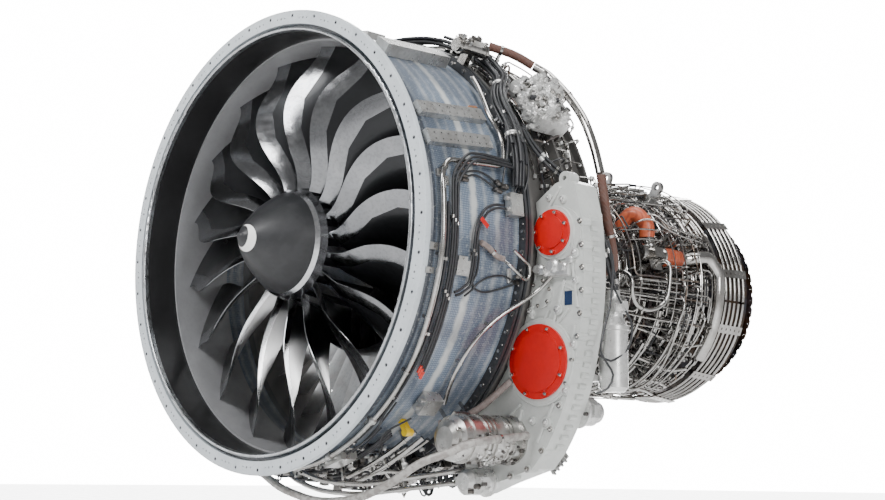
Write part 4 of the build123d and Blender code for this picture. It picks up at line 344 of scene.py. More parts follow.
slots = {entry["node"]: entry["material_slot"] for entry in frame["record"]["subparts"]}
for name, piece in frame["nodes"].items():
    piece.data.materials.clear()
    piece.data.materials.append(paints[slots[name]])


# Shapes

def polar(radius, angle, along):
    turn = math.radians(angle)
    return Vector((radius * math.cos(turn), along, radius * math.sin(turn)))


def frame_at(radius, angle, along):
    """Axes of a piece seated on the case: its Z points outward, its Y aft."""
    outward = polar(1, angle, 0)
    matrix = Matrix((AFT.cross(outward), AFT, outward)).transposed().to_4x4()
    matrix.translation = polar(radius, angle, along)
    return matrix


def closed_rows(rows, sides):
    """Faces between rings of points, with a lid on the first ring and on the last."""
    faces = []
    for row in range(rows - 1):
        for step in range(sides):
            after = (step + 1) % sides
            faces.append([row * sides + step, row * sides + after,
                          (row + 1) * sides + after, (row + 1) * sides + step])
    faces.append(list(range(sides))[::-1])
    faces.append([(rows - 1) * sides + step for step in range(sides)])
    return faces


class Batch:
    """Many small solids gathered into one of the scene's own pieces, which rides on the engine's frame."""

    def __init__(self, name, material):
        self.name = name
        self.material = material
        self.vertices = []
        self.faces = []

    def add(self, vertices, faces, matrix=None):
        start = len(self.vertices)
        self.vertices += [matrix @ vertex if matrix else vertex for vertex in vertices]
        self.faces += [[start + corner for corner in face] for face in faces]

    def turned(self, profile, matrix, sides):
        """A solid of revolution about the piece's Z, from (radius, height) points, closed at both ends."""
        vertices = []
        for radius, height in profile:
            for step in range(sides):
                turn = 2 * math.pi * step / sides
                vertices.append(Vector((radius * math.cos(turn), radius * math.sin(turn), height)))
        self.add(vertices, closed_rows(len(profile), sides), matrix)

    def box(self, width, length, height, matrix, edge=0.0):
        """A block that stands on its origin, with its top edges cut back."""
        rows = [(0.0, 0.0), (0.0, height - edge)]
        if edge:
            rows.append((edge, height))
        vertices = []
        for inset, level in rows:
            for sx, sy in ((-1, -1), (1, -1), (1, 1), (-1, 1)):
                vertices.append(Vector((sx * (width / 2 - inset), sy * (length / 2 - inset), level)))
        self.add(vertices, closed_rows(len(rows), 4), matrix)

    def bolt(self, matrix, size, washer=True):
        """Hexagon head with a chamfer, on a washer."""
        base = 0.0
        if washer:
            self.turned(((size * 1.5, 0), (size * 1.5, size * 0.25)), matrix, 14)
            base = size * 0.25
        self.turned(((size * 1.05, base), (size * 1.05, base + size * 0.75), (size * 0.85, base + size)),
                    matrix, 6)
        self.turned(((size * 0.5, base + size), (size * 0.5, base + size * 1.5)), matrix, 8)

    def tube(self, points, radius, sides=10, step=0.022):
        """A round tube along a smooth line through the points."""
        line = smooth_line(points, step)
        vertices = []
        side = None
        for number, point in enumerate(line):
            ahead = line[min(number + 1, len(line) - 1)] - line[max(number - 1, 0)]
            ahead.normalize()
            if side is None:
                side = ahead.orthogonal().normalized()
            side = (side - ahead * side.dot(ahead)).normalized()
            other = ahead.cross(side)
            for turn in range(sides):
                swing = 2 * math.pi * turn / sides
                vertices.append(point + radius * (side * math.cos(swing) + other * math.sin(swing)))
        self.add(vertices, closed_rows(len(line), sides))

    def finish(self, smooth=True):
        mesh = bpy.data.meshes.new(self.name)
        mesh.from_pydata([tuple(vertex) for vertex in self.vertices], [], self.faces)
        mesh.materials.append(self.material)
        if smooth:
            mesh.shade_smooth()
            mesh.set_sharp_from_angle(angle=math.radians(38))
        piece = bpy.data.objects.new(self.name, mesh)
        bpy.context.collection.objects.link(piece)
        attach(piece, ROOT)


def smooth_line(points, step):
    """Points about a step apart on a smooth curve through the given ones."""
    knots = [points[0] * 2 - points[1]] + list(points) + [points[-1] * 2 - points[-2]]
    line = []
    for first, start, end, last in zip(knots, knots[1:], knots[2:], knots[3:]):
        reach = (end - start).length
        count = max(2, int(reach / step))
        pull_in = (end - first) * 0.5
        pull_out = (last - start) * 0.5
        pull_in = pull_in * min(1.0, reach / max(pull_in.length, 1e-6))
        pull_out = pull_out * min(1.0, reach / max(pull_out.length, 1e-6))
        for number in range(count):
            t = number / count
            line.append(start * (2 * t**3 - 3 * t**2 + 1) + pull_in * (t**3 - 2 * t**2 + t)
                        + end * (-2 * t**3 + 3 * t**2) + pull_out * (t**3 - t**2))
    line.append(points[-1])
    return line


def facing(position, direction):
    """A matrix at a place, with its Z along a direction."""
    matrix = Vector(direction).to_track_quat("Z", "Y").to_matrix().to_4x4()
    matrix.translation = position
    return matrix


def route(places):
    """Points from (radius, angle, along) places."""
    return [polar(radius, angle, along) for radius, angle, along in places]


# Bolts, plates and fittings on the gearbox

# The front face along the engine, how far the rim stands out from it, and the face of the two round
# covers, whose middles are (x, z)
GEARBOX_FRONT = 0.7
RIM_HEIGHT = 0.008
COVER_FACE = 0.667
UPPER_COVER = (1.088, -0.004)
LOWER_COVER = (1.011, -0.545)


def on_gearbox(x, z, along=GEARBOX_FRONT):
    return facing(Vector((x, along, z)), FORWARD)


bolts = Batch("gearbox_bolts", paints["bright_metal"])
for x, z in ((1.232, 0.03), (1.24, -0.07), (1.243, -0.165), (1.24, -0.26), (1.229, -0.355),
             (1.213, -0.45), (1.186, -0.545), (1.154, -0.64), (1.114, -0.73), (1.066, -0.825),
             (1.018, -0.915), (0.936, -0.99), (0.841, -1.02)):
    bolts.bolt(on_gearbox(x, z, GEARBOX_FRONT - RIM_HEIGHT), 0.0085)
for x, z, circle, count, start, face, size, washer in (
        (*UPPER_COVER, 0.085, 7, 20, COVER_FACE, 0.0075, False),
        (*LOWER_COVER, 0.145, 8, 20, COVER_FACE, 0.0075, False),
        (1.012, -0.255, 0.054, 6, 15, GEARBOX_FRONT - RIM_HEIGHT, 0.006, True)):
    for number in range(count):
        turn = math.radians(start + number * 360 / count)
        place = on_gearbox(x + circle * math.cos(turn), z + circle * math.sin(turn), face)
        bolts.bolt(place, size, washer)
bolts.finish()

# The data plate, left without writing
plate = Batch("gearbox_plates", plate_ink)
plate.box(0.04, 0.058, 0.003, on_gearbox(1.16, -0.286, GEARBOX_FRONT + 0.0035))
plate.finish(False)

fittings = Batch("gearbox_fittings", paints["accessory_casting"])
for x, z, radius, reach in ((1.1, -0.15, 0.03, 0.052), (1.15, -0.158, 0.022, 0.04),
                            (1.062, -0.172, 0.02, 0.06), (1.02, -0.158, 0.024, 0.046),
                            (1.186, -0.128, 0.016, 0.034)):
    neck = radius * 0.7
    fittings.turned(((radius, -0.002), (radius, reach * 0.6), (neck, reach * 0.7), (neck, reach)),
                    on_gearbox(x, z), 18)
fittings.box(0.15, 0.046, 0.03, on_gearbox(1.11, -0.172, GEARBOX_FRONT + SUNK), 0.006)
fittings.finish()


# Finding the surfaces that small pieces stand on

# The vane ring turns this many degrees either way
VANE_TRAVEL = 8

# Radius that a look inward starts from, and the radius where it meets nothing
OUTSIDE = 1.2
NO_GROUND = 0.3


def surface_of(*names, turns=(0,)):
    """One surface of several nodes, each taken at every one of some turns about the engine axis."""
    vertices = []
    faces = []
    for name, turn in [(name, turn) for name in names for turn in turns]:
        mesh = frame["nodes"][name].data
        start = len(vertices)
        spin = Matrix.Rotation(math.radians(turn), 4, "Y")
        vertices += [spin @ vertex.co for vertex in mesh.vertices]
        faces += [[start + corner for corner in polygon.vertices] for polygon in mesh.polygons]
    return BVHTree.FromPolygons(vertices, faces)


def ground(surface, angle, along):
    """Radius of the outermost surface at a place."""
    distance = surface.ray_cast(polar(OUTSIDE, angle, along), -polar(1, angle, 0))[3]
    return NO_GROUND if distance is None else OUTSIDE - distance


core_surface = surface_of("low_compressor_case", "core_frame", "high_compressor_case", "combustor_case",
                          "turbine_case", "turbine_frame", "exhaust_case")
case_surface = surface_of("fan_case", "fan_case_joint", "intermediate_case")
crowded = surface_of("core_pipes", "core_valves", "duct_sleeves", "bleed_duct", "turbine_cooling",
                     "fuel_nozzles", "rear_mount", "front_mount", "wrapped_hoses", "black_harness",
                     "oil_filter", "gearbox_pumps", "gearbox_housing", "fuel_control", "vane_ring",
                     "fan_case_tubes", "generator", "drain_mast", "junction_boxes", "channel_brackets")
swept = surface_of("vane_ring", turns=range(-VANE_TRAVEL, VANE_TRAVEL + 1, 2))
low_corner, high_corner = (Vector(corner) for corner in size_before)


def inside(point, margin):
    """Whether a place is inside the CAD model's box."""
    return all(low + margin < value < high - margin
               for low, value, high in zip(low_corner, point, high_corner))


# Bolts round the flanges

# How far along the engine a flange's face may be from where the look starts
LOOK_REACH = 0.08


def bolt_ring(batch, surface, circle, start, toward, count, size):
    """Bolts round a flange, each seated on the face that a look along the axis meets."""
    for number in range(count):
        angle = 360 * (number + 0.5) / count
        place = surface.ray_cast(polar(circle, angle, start), Vector((0, toward, 0)))[0]
        if place and abs(place.y - start) < LOOK_REACH:
            batch.bolt(facing(place, (0, -toward, 0)), size, False)


rings = Batch("core_flange_bolts", paints["bright_metal"])
for circle, start, toward, count, size in (
        (0.343, 1.22, -1, 56, 0.0045), (0.3135, 1.735, 1, 48, 0.0045), (0.3135, 1.772, -1, 48, 0.0045),
        (0.408, 2.2, 1, 64, 0.0048), (0.42, 2.39, 1, 64, 0.0048), (0.421, 2.43, -1, 64, 0.0048),
        (0.521, 2.545, 1, 80, 0.0052), (0.522, 2.58, -1, 80, 0.0052), (0.562, 2.85, 1, 88, 0.0055),
        (0.563, 2.9, -1, 88, 0.0055)):
    bolt_ring(rings, core_surface, circle, start, toward, count, size)
rings.finish()


# Fine pipes

# Radius of the outer layer of pipes at places along the core
CORE_LINE = ((1.16, 0.43), (1.26, 0.452), (1.56, 0.458), (1.8, 0.496), (1.96, 0.5), (2.05, 0.534),
             (2.24, 0.552), (2.44, 0.582), (2.56, 0.586))

# Gaps that a fine pipe keeps: off larger pieces, off the vane ring's sweep, and off the middles of others
PIPE_GAP = 0.002
SWEEP_GAP = 0.004
PIPE_SPACING = 0.0052

# Pitch of the points that a fine pipe is tested at
TEST_STEP = 0.012

# Steps in degrees of the hoop pipes, and how far their middles stay off larger pieces and inside the box
HOOP_STEP = 3
HOOP_GAP = 0.016
HOOP_MARGIN = 0.01


def core_line(along):
    for (start, low), (end, high) in zip(CORE_LINE, CORE_LINE[1:]):
        if along <= end:
            return low + (high - low) * max(0.0, along - start) / (end - start)
    return CORE_LINE[-1][1]


def over_core(angle, along, depth):
    """A place in a layer of the core's pipes, always a little off the case."""
    return polar(max(core_line(along) + depth, ground(core_surface, angle, along) + 0.012), angle, along)


def over_case(angle, along, depth):
    """A place off the fan case or the case behind it, clear of the ribs on either side."""
    rib = max(ground(case_surface, angle, along + shift) for shift in (-0.02, 0, 0.02))
    return polar(rib + depth, angle, along)


def pipe_path(corners, depth, over, surface, trim=0.02, pitch=0.035):
    """Points along straight runs between (angle, along) corners, with both ends on the case."""
    points = []
    for (angle, along), (next_angle, next_along) in zip(corners, corners[1:]):
        size = over(angle, along, depth).xz.length
        length = math.hypot(next_along - along, math.radians(next_angle - angle) * size)
        count = max(2, int(length / pitch))
        for number in range(count + 1):
            t = (trim + (length - 2 * trim) * number / count) / length
            points.append(over(angle + (next_angle - angle) * t, along + (next_along - along) * t, depth))
    ends = []
    for angle, along in (corners[0], corners[-1]):
        foot = ground(surface, angle, along)
        ends.append([polar(foot - PIPE_END, angle, along), polar(foot + 0.01, angle, along)])
    return ends[0] + points + ends[1][::-1]


def random_corners(angles, alongs, turns, shortest=0.07, usual_radius=0.5):
    """A wandering route of runs along the axis and round it."""
    angle = random.uniform(*angles)
    along = random.uniform(*alongs)
    corners = [(angle, along)]
    turning = random.random() < 0.5
    for _ in range(random.choice((1, 2, 3, 3, 4))):
        if turning:
            angle = min(max(angle + random.choice((-1, 1)) * random.uniform(*turns), angles[0]), angles[1])
        else:
            reach = random.uniform(0.2, 1.0) * (alongs[1] - alongs[0]) * random.choice((-0.5, 0.5))
            along = along + reach if alongs[0] < along + reach < alongs[1] else along - reach
            along = min(max(along, alongs[0]), alongs[1])
        side = math.radians(angle - corners[-1][0]) * usual_radius
        if math.hypot(along - corners[-1][1], side) > shortest:
            corners.append((angle, along))
        turning = not turning
    return corners


def tree_of_points(points):
    tree = KDTree(len(points))
    for number, point in enumerate(points):
        tree.insert(point, number)
    tree.balance()
    return tree


def free(line, pipe, tree):
    """Whether a pipe along a line stays in the box and clear of all that is there."""
    if not all(inside(point, pipe + PIPE_GAP) for point in line):
        return False
    if any(crowded.find_nearest(point, pipe + PIPE_GAP)[0] for point in line[3:-3]):
        return False
    if any(swept.find_nearest(point, pipe * 2 + SWEEP_GAP)[0] for point in line):
        return False
    return not (tree and any(tree.find(point)[2] < pipe + PIPE_SPACING for point in line))


def heading_at(line, spot):
    return (line[spot + 1] - line[spot - 1]).normalized()


def clip(batch, line, spot, pipe, surface):
    """A band round a pipe, on a strip that stands on the case."""
    place = line[spot]
    angle = math.degrees(math.atan2(place.z, place.x))
    foot = ground(surface, angle, place.y)
    reach = (place.xz.length - foot) / 2
    if swept.find_nearest(polar(foot + reach, angle, place.y), reach + 0.006)[0]:
        return
    batch.turned(((pipe + 0.0016, -0.005), (pipe + 0.0016, 0.005)), facing(place, heading_at(line, spot)), 10)
    batch.box(0.007, 0.0022, max(0.002, place.xz.length - foot), frame_at(foot - SUNK, angle, place.y))


def lay_pipes(name, seed, tries, sizes, depths, angles, alongs, turns, over, surface, clip_pitch=16,
              mix=(3, 1, 1)):
    """Seeded fine pipes, each kept only where it is clear of everything laid so far."""
    random.seed(seed)
    bright = Batch(name + "_fine_pipes", paints["bright_metal"])
    dull = Batch(name + "_dull_pipes", dull_metal)
    black = Batch(name + "_cables", paints["black_cable"])
    clips = Batch(name + "_clips", paints["bracket_metal"])
    unions = Batch(name + "_unions", paints["accessory_casting"])
    kinds = [bright] * mix[0] + [dull] * mix[1] + [black] * mix[2]
    tree = tree_of_points(laid) if laid else None
    for _ in range(tries):
        pipe = random.choice(sizes)
        depth = random.choice(depths)
        corners = random_corners(angles, alongs, turns)
        batch = random.choice(kinds)
        if len(corners) < 2:
            continue
        points = pipe_path(corners, depth, over, surface)
        line = smooth_line(points, TEST_STEP)
        if not free(line, pipe, tree):
            continue
        batch.tube(points, pipe, 8, 0.02)
        laid.extend(line)
        tree = tree_of_points(laid)
        for spot in range(6, len(line) - 6, clip_pitch):
            clip(clips, line, spot, pipe, surface)
        for spot in (3, len(line) - 4):
            slim, wide = pipe * 1.7, pipe * 2.0
            unions.turned(((slim, -0.008), (wide, -0.006), (wide, 0.006), (slim, 0.008)),
                          facing(line[spot], heading_at(line, spot)), 6)
    for batch in (bright, dull, black, clips, unions):
        batch.finish()


def banded(batch, points, pipe, every, width, wall=0.0022, pitch=0.01):
    """Bands round a tube at every so many metres."""
    line = smooth_line(points, pitch)
    step = max(2, int(every / pitch))
    for spot in range(step // 2, len(line) - 1, step):
        batch.turned(((pipe + wall, -width / 2), (pipe + wall, width / 2)),
                     facing(line[spot], heading_at(line, spot)), 12)


def hoop(batch, run, along, lift, pipe):
    """One stretch of a hoop pipe, from (foot, angle, place) steps, with its ends, bands and posts."""
    line = [polar(run[0][0] - PIPE_END, run[0][1] - 1, along)] + [place for _, _, place in run]
    line.append(polar(run[-1][0] - PIPE_END, run[-1][1] + 1, along))
    batch.tube(line, pipe, 8)
    laid.extend(line)
    banded(batch, line, pipe, 0.12, 0.014)
    for foot, angle, _ in run[2:-2:8]:
        batch.box(0.01, 0.004, lift, frame_at(foot - SUNK, angle, along))


def turbine_hoops():
    """Pipes round the turbine, broken where larger pieces stand."""
    hoops = Batch("turbine_hoop_pipes", paints["bright_metal"])
    for along, lift, pipe in ((2.3, 0.06, 0.005), (2.436, 0.062, 0.006), (2.458, 0.072, 0.005),
                              (2.482, 0.06, 0.006), (2.506, 0.05, 0.005), (2.532, 0.042, 0.0065),
                              (2.58, 0.036, 0.0065), (2.602, 0.04, 0.0055), (2.622, 0.028, 0.006),
                              (2.643, 0.034, 0.0055), (2.664, 0.026, 0.006)):
        run = []
        for angle in range(-180, 181, HOOP_STEP):
            foot = ground(core_surface, angle, along)
            place = polar(foot + lift, angle, along)
            if angle < 180 and inside(place, HOOP_MARGIN) and not crowded.find_nearest(place, HOOP_GAP)[0]:
                run.append((foot, angle, place))
                continue
            if len(run) > 5:
                hoop(hoops, run, along, lift, pipe)
            run = []
    hoops.finish()


# Points of all the fine pipes laid so far
laid = []
turbine_hoops()
lay_pipes("core", seed=41, tries=16000, sizes=(0.003, 0.0038, 0.0046, 0.006),
          depths=(-0.052, -0.042, -0.032, -0.022, -0.008, 0.006, 0.016, 0.026),
          angles=(-180, 180), alongs=(1.19, 2.56), turns=(11, 70), over=over_core, surface=core_surface,
          clip_pitch=20)
lay_pipes("turbine", seed=59, tries=5000, sizes=(0.003, 0.004, 0.0052),
          depths=(-0.075, -0.06, -0.045, -0.03, -0.015, 0.0),
          angles=(-180, 180), alongs=(2.3, 2.58), turns=(8, 34), over=over_core, surface=core_surface,
          clip_pitch=14, mix=(3, 2, 1))
lay_pipes("rear_case", seed=17, tries=2500, sizes=(0.004, 0.0055, 0.007), depths=(0.014, 0.024, 0.036),
          angles=(-62, 240), alongs=(0.7, 1.06), turns=(8, 40), over=over_case, surface=case_surface)
lay_pipes("lower_case", seed=23, tries=3500, sizes=(0.0045, 0.006, 0.008),
          depths=(0.014, 0.026, 0.04, 0.056, 0.072),
          angles=(-124, -66), alongs=(0.15, 0.95), turns=(6, 24), over=over_case, surface=case_surface,
          mix=(1, 1, 4))


# Small fittings

# Radii and heights of two turned fittings of size 1
HEXAGON = ((1, 0), (1, 0.8), (0.85, 1), (0.5, 1), (0.5, 1.7))
PORT = ((1.3, 0), (1.3, 0.4), (1, 0.5), (1, 1.8), (1.15, 1.9), (1.15, 2.3), (0.6, 2.4))


def hexagon(batch, matrix, size):
    batch.turned([(size * radius, size * height) for radius, height in HEXAGON], matrix, 6)


def port(batch, matrix, size):
    batch.turned([(size * radius, size * height) for radius, height in PORT], matrix, 14)


def housing(batch, matrix, size):
    batch.box(size * 2.6, size * 1.7, size * 1.5, matrix, size * 0.2)
    for side in (-1, 1):
        batch.bolt(matrix @ Matrix.Translation((side * size * 0.8, 0, size * 1.5)), size * 0.22, False)


FORMS = (hexagon, port, housing)

# Each fitting stands this deep in the face that a ray meets
RAY_SUNK = 0.0006

# Room above its foot for a fitting of size 1, and the least cosine at which a ray may meet a face
HEADROOM = 2.6
SQUARE_ON = 0.55

silver = Batch("silver_fittings", paints["accessory_casting"])
steel = Batch("steel_fittings", paints["bright_metal"])
dark = Batch("dark_fittings", dark_metal)
rubber = Batch("rubber_plugs", paints["black_cable"])


def scatter(node, low, high, direction, count, sizes, seed, batches=(silver, steel, dark), forms=FORMS):
    """Seeded fittings on the faces of a node that rays through a box meet."""
    surface = surface_of(node)
    random.seed(seed)
    direction = Vector(direction).normalized()
    for _ in range(count):
        target = Vector([random.uniform(*pair) for pair in zip(low, high)])
        batch = random.choice(batches)
        form = random.choice(forms)
        size = random.uniform(*sizes)
        place, normal = surface.ray_cast(target - direction * 0.5, direction)[:2]
        if not place or -normal.dot(direction) <= SQUARE_ON:
            continue
        if inside(place + normal * size * HEADROOM, size * 1.5):
            form(batch, facing(place - normal * RAY_SUNK, normal), size)


def stand(surface, count, angles, alongs, sizes, seed):
    """Seeded fittings on a case, some on posts, kept off larger pieces and the vane ring's sweep."""
    random.seed(seed)
    for _ in range(count):
        angle = random.uniform(*angles)
        along = random.uniform(*alongs)
        size = random.uniform(*sizes)
        batch = random.choice((silver, steel, dark, dark))
        form = random.choice(FORMS)
        post = random.choice((0.0, 0.0, 0.03, 0.055))
        foot = ground(surface, angle, along)
        top = polar(foot + post + size, angle, along)
        clear = not swept.find_nearest(polar(foot + post / 2, angle, along), post / 2 + size * HEADROOM)[0]
        if clear and inside(top, size * HEADROOM) and not crowded.find_nearest(top, size * 1.8)[0]:
            if post:
                batch.turned(((size * 0.7, 0), (size * 0.7, post)), frame_at(foot - SUNK, angle, along), 10)
            form(batch, frame_at(foot + post - SUNK, angle, along), size)


CONTROL_BOX = ((0.809, 0.671, 0.465), (1.024, 0.901, 0.738))
MOSTLY_SILVER = (silver, silver, silver, steel)
INWARD = -polar(1, 36, 0)
FROM_FRONT = (-0.5, 0.75, -0.35)
scatter("fuel_control", *CONTROL_BOX, INWARD, 90, (0.006, 0.014), 3, MOSTLY_SILVER)
scatter("fuel_control", *CONTROL_BOX, FROM_FRONT, 90, (0.006, 0.014), 4, MOSTLY_SILVER)
scatter("fuel_control", *CONTROL_BOX, FROM_FRONT, 14, (0.008, 0.011), 12, (rubber,), (port,))
scatter("vent_valve", (0.592, 0.528, 0.796), (0.701, 0.711, 0.921), (-0.6, 0.3, -0.7), 40, (0.005, 0.009), 5)
scatter("generator", (0.724, 0.31, -0.976), (0.936, 0.7, -0.756), (-0.8, 0.2, 0.5), 60, (0.004, 0.009), 6)
scatter("gearbox_pumps", (0.619, 0.55, -1.11), (1.159, 0.968, -0.676), (-0.6, 0.6, 0.5), 70, (0.005, 0.01), 7)
scatter("core_valves", (0.052, 1.24, -0.423), (0.553, 2.226, 0.221), (-0.8, 0.5, -0.1), 160, (0.005, 0.01), 8)
stand(core_surface, 900, (-180, 180), (1.19, 2.56), (0.006, 0.016), 9)
stand(core_surface, 500, (-180, 180), (2.27, 2.56), (0.006, 0.014), 10)
stand(case_surface, 260, (-122, -68), (0.15, 0.95), (0.01, 0.026), 11)
for batch in (silver, steel, dark, rubber):
    batch.finish()


# Larger pipes on the core, at the places where the photograph shows them

# Each pipe's radius and route
CORE_PIPES = (
    (0.011, ((0.41, 10.0, 2.156), (0.54, 9.6, 2.154), (0.6, 6.7, 2.152), (0.6, -4.3, 2.146),
         (0.6, -12.9, 2.12), (0.6, -17.2, 2.018), (0.6, -15.7, 1.906), (0.6, -9.9, 1.85),
         (0.596, -3.3, 1.841), (0.54, 0.5, 1.838), (0.398, 1.0, 1.838))),
    (0.0065, ((0.42, -8.0, 2.3), (0.56, -8.6, 2.3), (0.602, -12.0, 2.29), (0.603, -22.8, 2.272),
         (0.603, -33.5, 2.29), (0.603, -45.5, 2.318), (0.603, -58.4, 2.335), (0.598, -67.5, 2.3),
         (0.54, -71.0, 2.28), (0.405, -71.5, 2.28))),
    (0.0055, ((0.425, -14.0, 2.5), (0.56, -14.6, 2.5), (0.602, -18.0, 2.49), (0.603, -28.2, 2.47),
         (0.603, -39.0, 2.44), (0.603, -51.2, 2.43), (0.598, -65.5, 2.44), (0.54, -70.0, 2.44),
         (0.42, -70.5, 2.44))),
    (0.005, ((0.4, 38.0, 2.12), (0.54, 37.6, 2.12), (0.598, 34.9, 2.17), (0.602, 29.6, 2.241),
         (0.602, 26.4, 2.359), (0.602, 24.9, 2.5), (0.575, 24.6, 2.54), (0.5, 24.5, 2.548))),
    (0.005, ((0.4, 34.0, 2.08), (0.54, 33.6, 2.082), (0.598, 31.0, 2.128), (0.602, 26.6, 2.204),
         (0.602, 23.6, 2.324), (0.602, 22.1, 2.475), (0.575, 21.8, 2.52), (0.5, 21.6, 2.526))))

core_tubes = Batch("core_u_tube", paints["bright_metal"])
for pipe, places in CORE_PIPES:
    core_tubes.tube(route(places), pipe, 12)
    banded(core_tubes, route(places), pipe, 0.16, 0.012)
core_tubes.finish()


# Raised pads, ribs and bosses of the gearbox

# Along the engine, where the feet of the pads stand, just inside the front face
FEET = GEARBOX_FRONT + 0.0005


def gearbox_rib(batch, start, end, width, height):
    """A rib between two (x, z) places on the front face."""
    start, end = (Vector((x, FEET, z)) for x, z in (start, end))
    run = (end - start).normalized()
    matrix = Matrix((run, FORWARD.cross(run), FORWARD)).transposed().to_4x4()
    matrix.translation = (start + end) * 0.5
    batch.box((end - start).length, width, height, matrix, 0.003)


casting = Batch("gearbox_bosses", paints["gearbox_casting"])
machined = Batch("gearbox_rings", paints["accessory_casting"])
for place, size, height in ((UPPER_COVER, 0.116, 0.012), (LOWER_COVER, 0.186, 0.012)):
    casting.turned(((size, 0), (size, height * 0.7), (size - 0.004, height)), on_gearbox(*place, FEET), 56)
    casting.turned(((size - 0.01, height), (size - 0.01, height + 0.0025), (size - 0.013, height + 0.0035)),
                   on_gearbox(*place, FEET), 56)
for start, end, width, height in (
        ((1.175, -0.06), (1.215, -0.33), 0.013, 0.01), ((1.145, -0.21), (1.08, -0.395), 0.014, 0.01),
        ((0.985, -0.15), (0.96, -0.36), 0.012, 0.009), ((1.2, -0.4), (1.15, -0.6), 0.013, 0.01),
        ((1.085, -0.72), (0.99, -0.88), 0.014, 0.01), ((0.905, -0.74), (0.85, -0.9), 0.014, 0.01),
        ((1.05, 0.1), (1.12, 0.19), 0.014, 0.01), ((1.14, -0.23), (1.205, -0.26), 0.012, 0.008)):
    gearbox_rib(casting, start, end, width, height)
for x, z, size in ((1.203, -0.1, 0.022), (1.206, -0.215, 0.018), (1.195, -0.48, 0.022),
                   (1.11, -0.33, 0.026), (0.955, -0.33, 0.02), (1.152, -0.67, 0.02),
                   (1.045, -0.8, 0.026), (0.965, -0.79, 0.018), (0.9, -0.9, 0.022),
                   (0.842, -0.84, 0.018), (1.135, 0.135, 0.018), (1.06, 0.15, 0.016)):
    casting.turned(((size, 0), (size, 0.01), (size - 0.003, 0.013)), on_gearbox(x, z, FEET), 20)
    machined.turned(((size * 0.62, 0.013), (size * 0.62, 0.017), (size * 0.55, 0.018)),
                    on_gearbox(x, z, FEET), 16)
    machined.bolt(on_gearbox(x, z, FEET - 0.0175), size * 0.26, False)
casting.finish()
machined.finish()


# Harness on the fan case

TRUNK_CABLE = 0.0075
TOP_CABLE = 0.0078
THIN_CABLE = 0.0045
DROP_CABLE = 0.0048

# The trunk's route from the top down, and each of its cables' lift, shift and number of places
TRUNK = ((1.042, 68, 0.7), (1.042, 60, 0.726), (1.042, 52, 0.73), (1.042, 44, 0.7), (1.042, 40, 0.64),
         (1.04, 36.5, 0.59), (1.036, 33, 0.568), (1.036, 26.7, 0.572), (1.036, 20.8, 0.566),
         (1.028, 16.0, 0.556), (1.006, 10.6, 0.549))
TRUNK_CABLES = ((0.036, 0.006, 10), (0.036, 0.026, 9), (0.018, -0.019, 9), (0.018, 0.056, 10),
                (0.0, -0.018, 8))

# Where the trunk goes on over the top
OVER_TOP = ((1.042, 67.6, 0.701), (1.038, 74, 0.694), (1.026, 82, 0.672), (1.014, 92, 0.652),
            (1.006, 102, 0.64))
TOP_END = (0.992, 108, 0.636)

THIN_CABLES = (
    ((1.05, 31, 0.6), (1.044, 24, 0.61), (1.034, 17, 0.6), (1.01, 11.7, 0.575), (0.996, 8.0, 0.545)),
    ((1.052, 31, 0.56), (1.046, 24, 0.545), (1.036, 18, 0.515), (1.012, 13.5, 0.495), (0.994, 10.6, 0.492)),
    ((1.05, 30, 0.62), (1.046, 22, 0.64), (1.03, 14, 0.63), (1.004, 8.4, 0.6), (0.992, 6.0, 0.59)),
    ((0.992, 17.6, 0.599), (0.988, 16.0, 0.497), (0.986, 15.6, 0.404), (0.986, 14.5, 0.309),
     (0.988, 13.1, 0.255)),
    ((0.992, 10.8, 0.469), (0.986, 12.7, 0.421), (0.986, 13.4, 0.364), (0.986, 12.5, 0.29),
     (0.988, 11.3, 0.262)),
    ((0.992, 9.6, 0.453), (0.988, 11.2, 0.398), (0.986, 12.2, 0.348), (0.986, 11.5, 0.298),
     (0.988, 10.3, 0.268)),
    ((1.0, -3.8, 0.33), (0.99, -6.8, 0.348), (0.984, -9.0, 0.358), (0.984, -12.1, 0.355),
     (0.984, -14.1, 0.34), (0.984, -15.6, 0.367), (0.984, -16.0, 0.422), (0.984, -14.9, 0.495),
     (0.984, -13.8, 0.551), (0.994, -12.5, 0.6)),
    ((0.996, -17.4, 0.3), (0.986, -15.8, 0.345), (0.984, -14.1, 0.372), (0.984, -12.4, 0.423),
     (0.984, -11.6, 0.48), (0.984, -11.5, 0.529), (0.99, -12.5, 0.569)),
    ((1.012, -44.6, 0.144), (1.012, -50.4, 0.143), (1.01, -56.1, 0.18), (1.006, -62.3, 0.186),
     (1.004, -68.5, 0.19), (1.004, -77.4, 0.225), (1.006, -85.0, 0.262), (1.012, -91.0, 0.25)),
    ((0.99, -47.2, 0.188), (0.99, -51.4, 0.19), (0.99, -57.2, 0.2), (0.992, -63.8, 0.212),
     (0.994, -71.1, 0.236), (0.996, -82.6, 0.3), (1.004, -91.0, 0.32)),
    ((0.99, -56.7, 0.222), (0.99, -64.2, 0.24), (0.992, -74.2, 0.29), (0.998, -84.0, 0.345),
     (1.004, -91.5, 0.36)),
    ((1.02, -50.4, 0.296), (1.014, -53.0, 0.27), (1.006, -56.3, 0.25), (1.002, -60.3, 0.268),
     (1.006, -65.3, 0.339), (1.01, -70.5, 0.395)),
    ((0.99, -84.0, 0.33), (1.012, -86.0, 0.38), (1.02, -87.5, 0.45), (1.012, -86.5, 0.53),
     (0.99, -84.0, 0.585)))

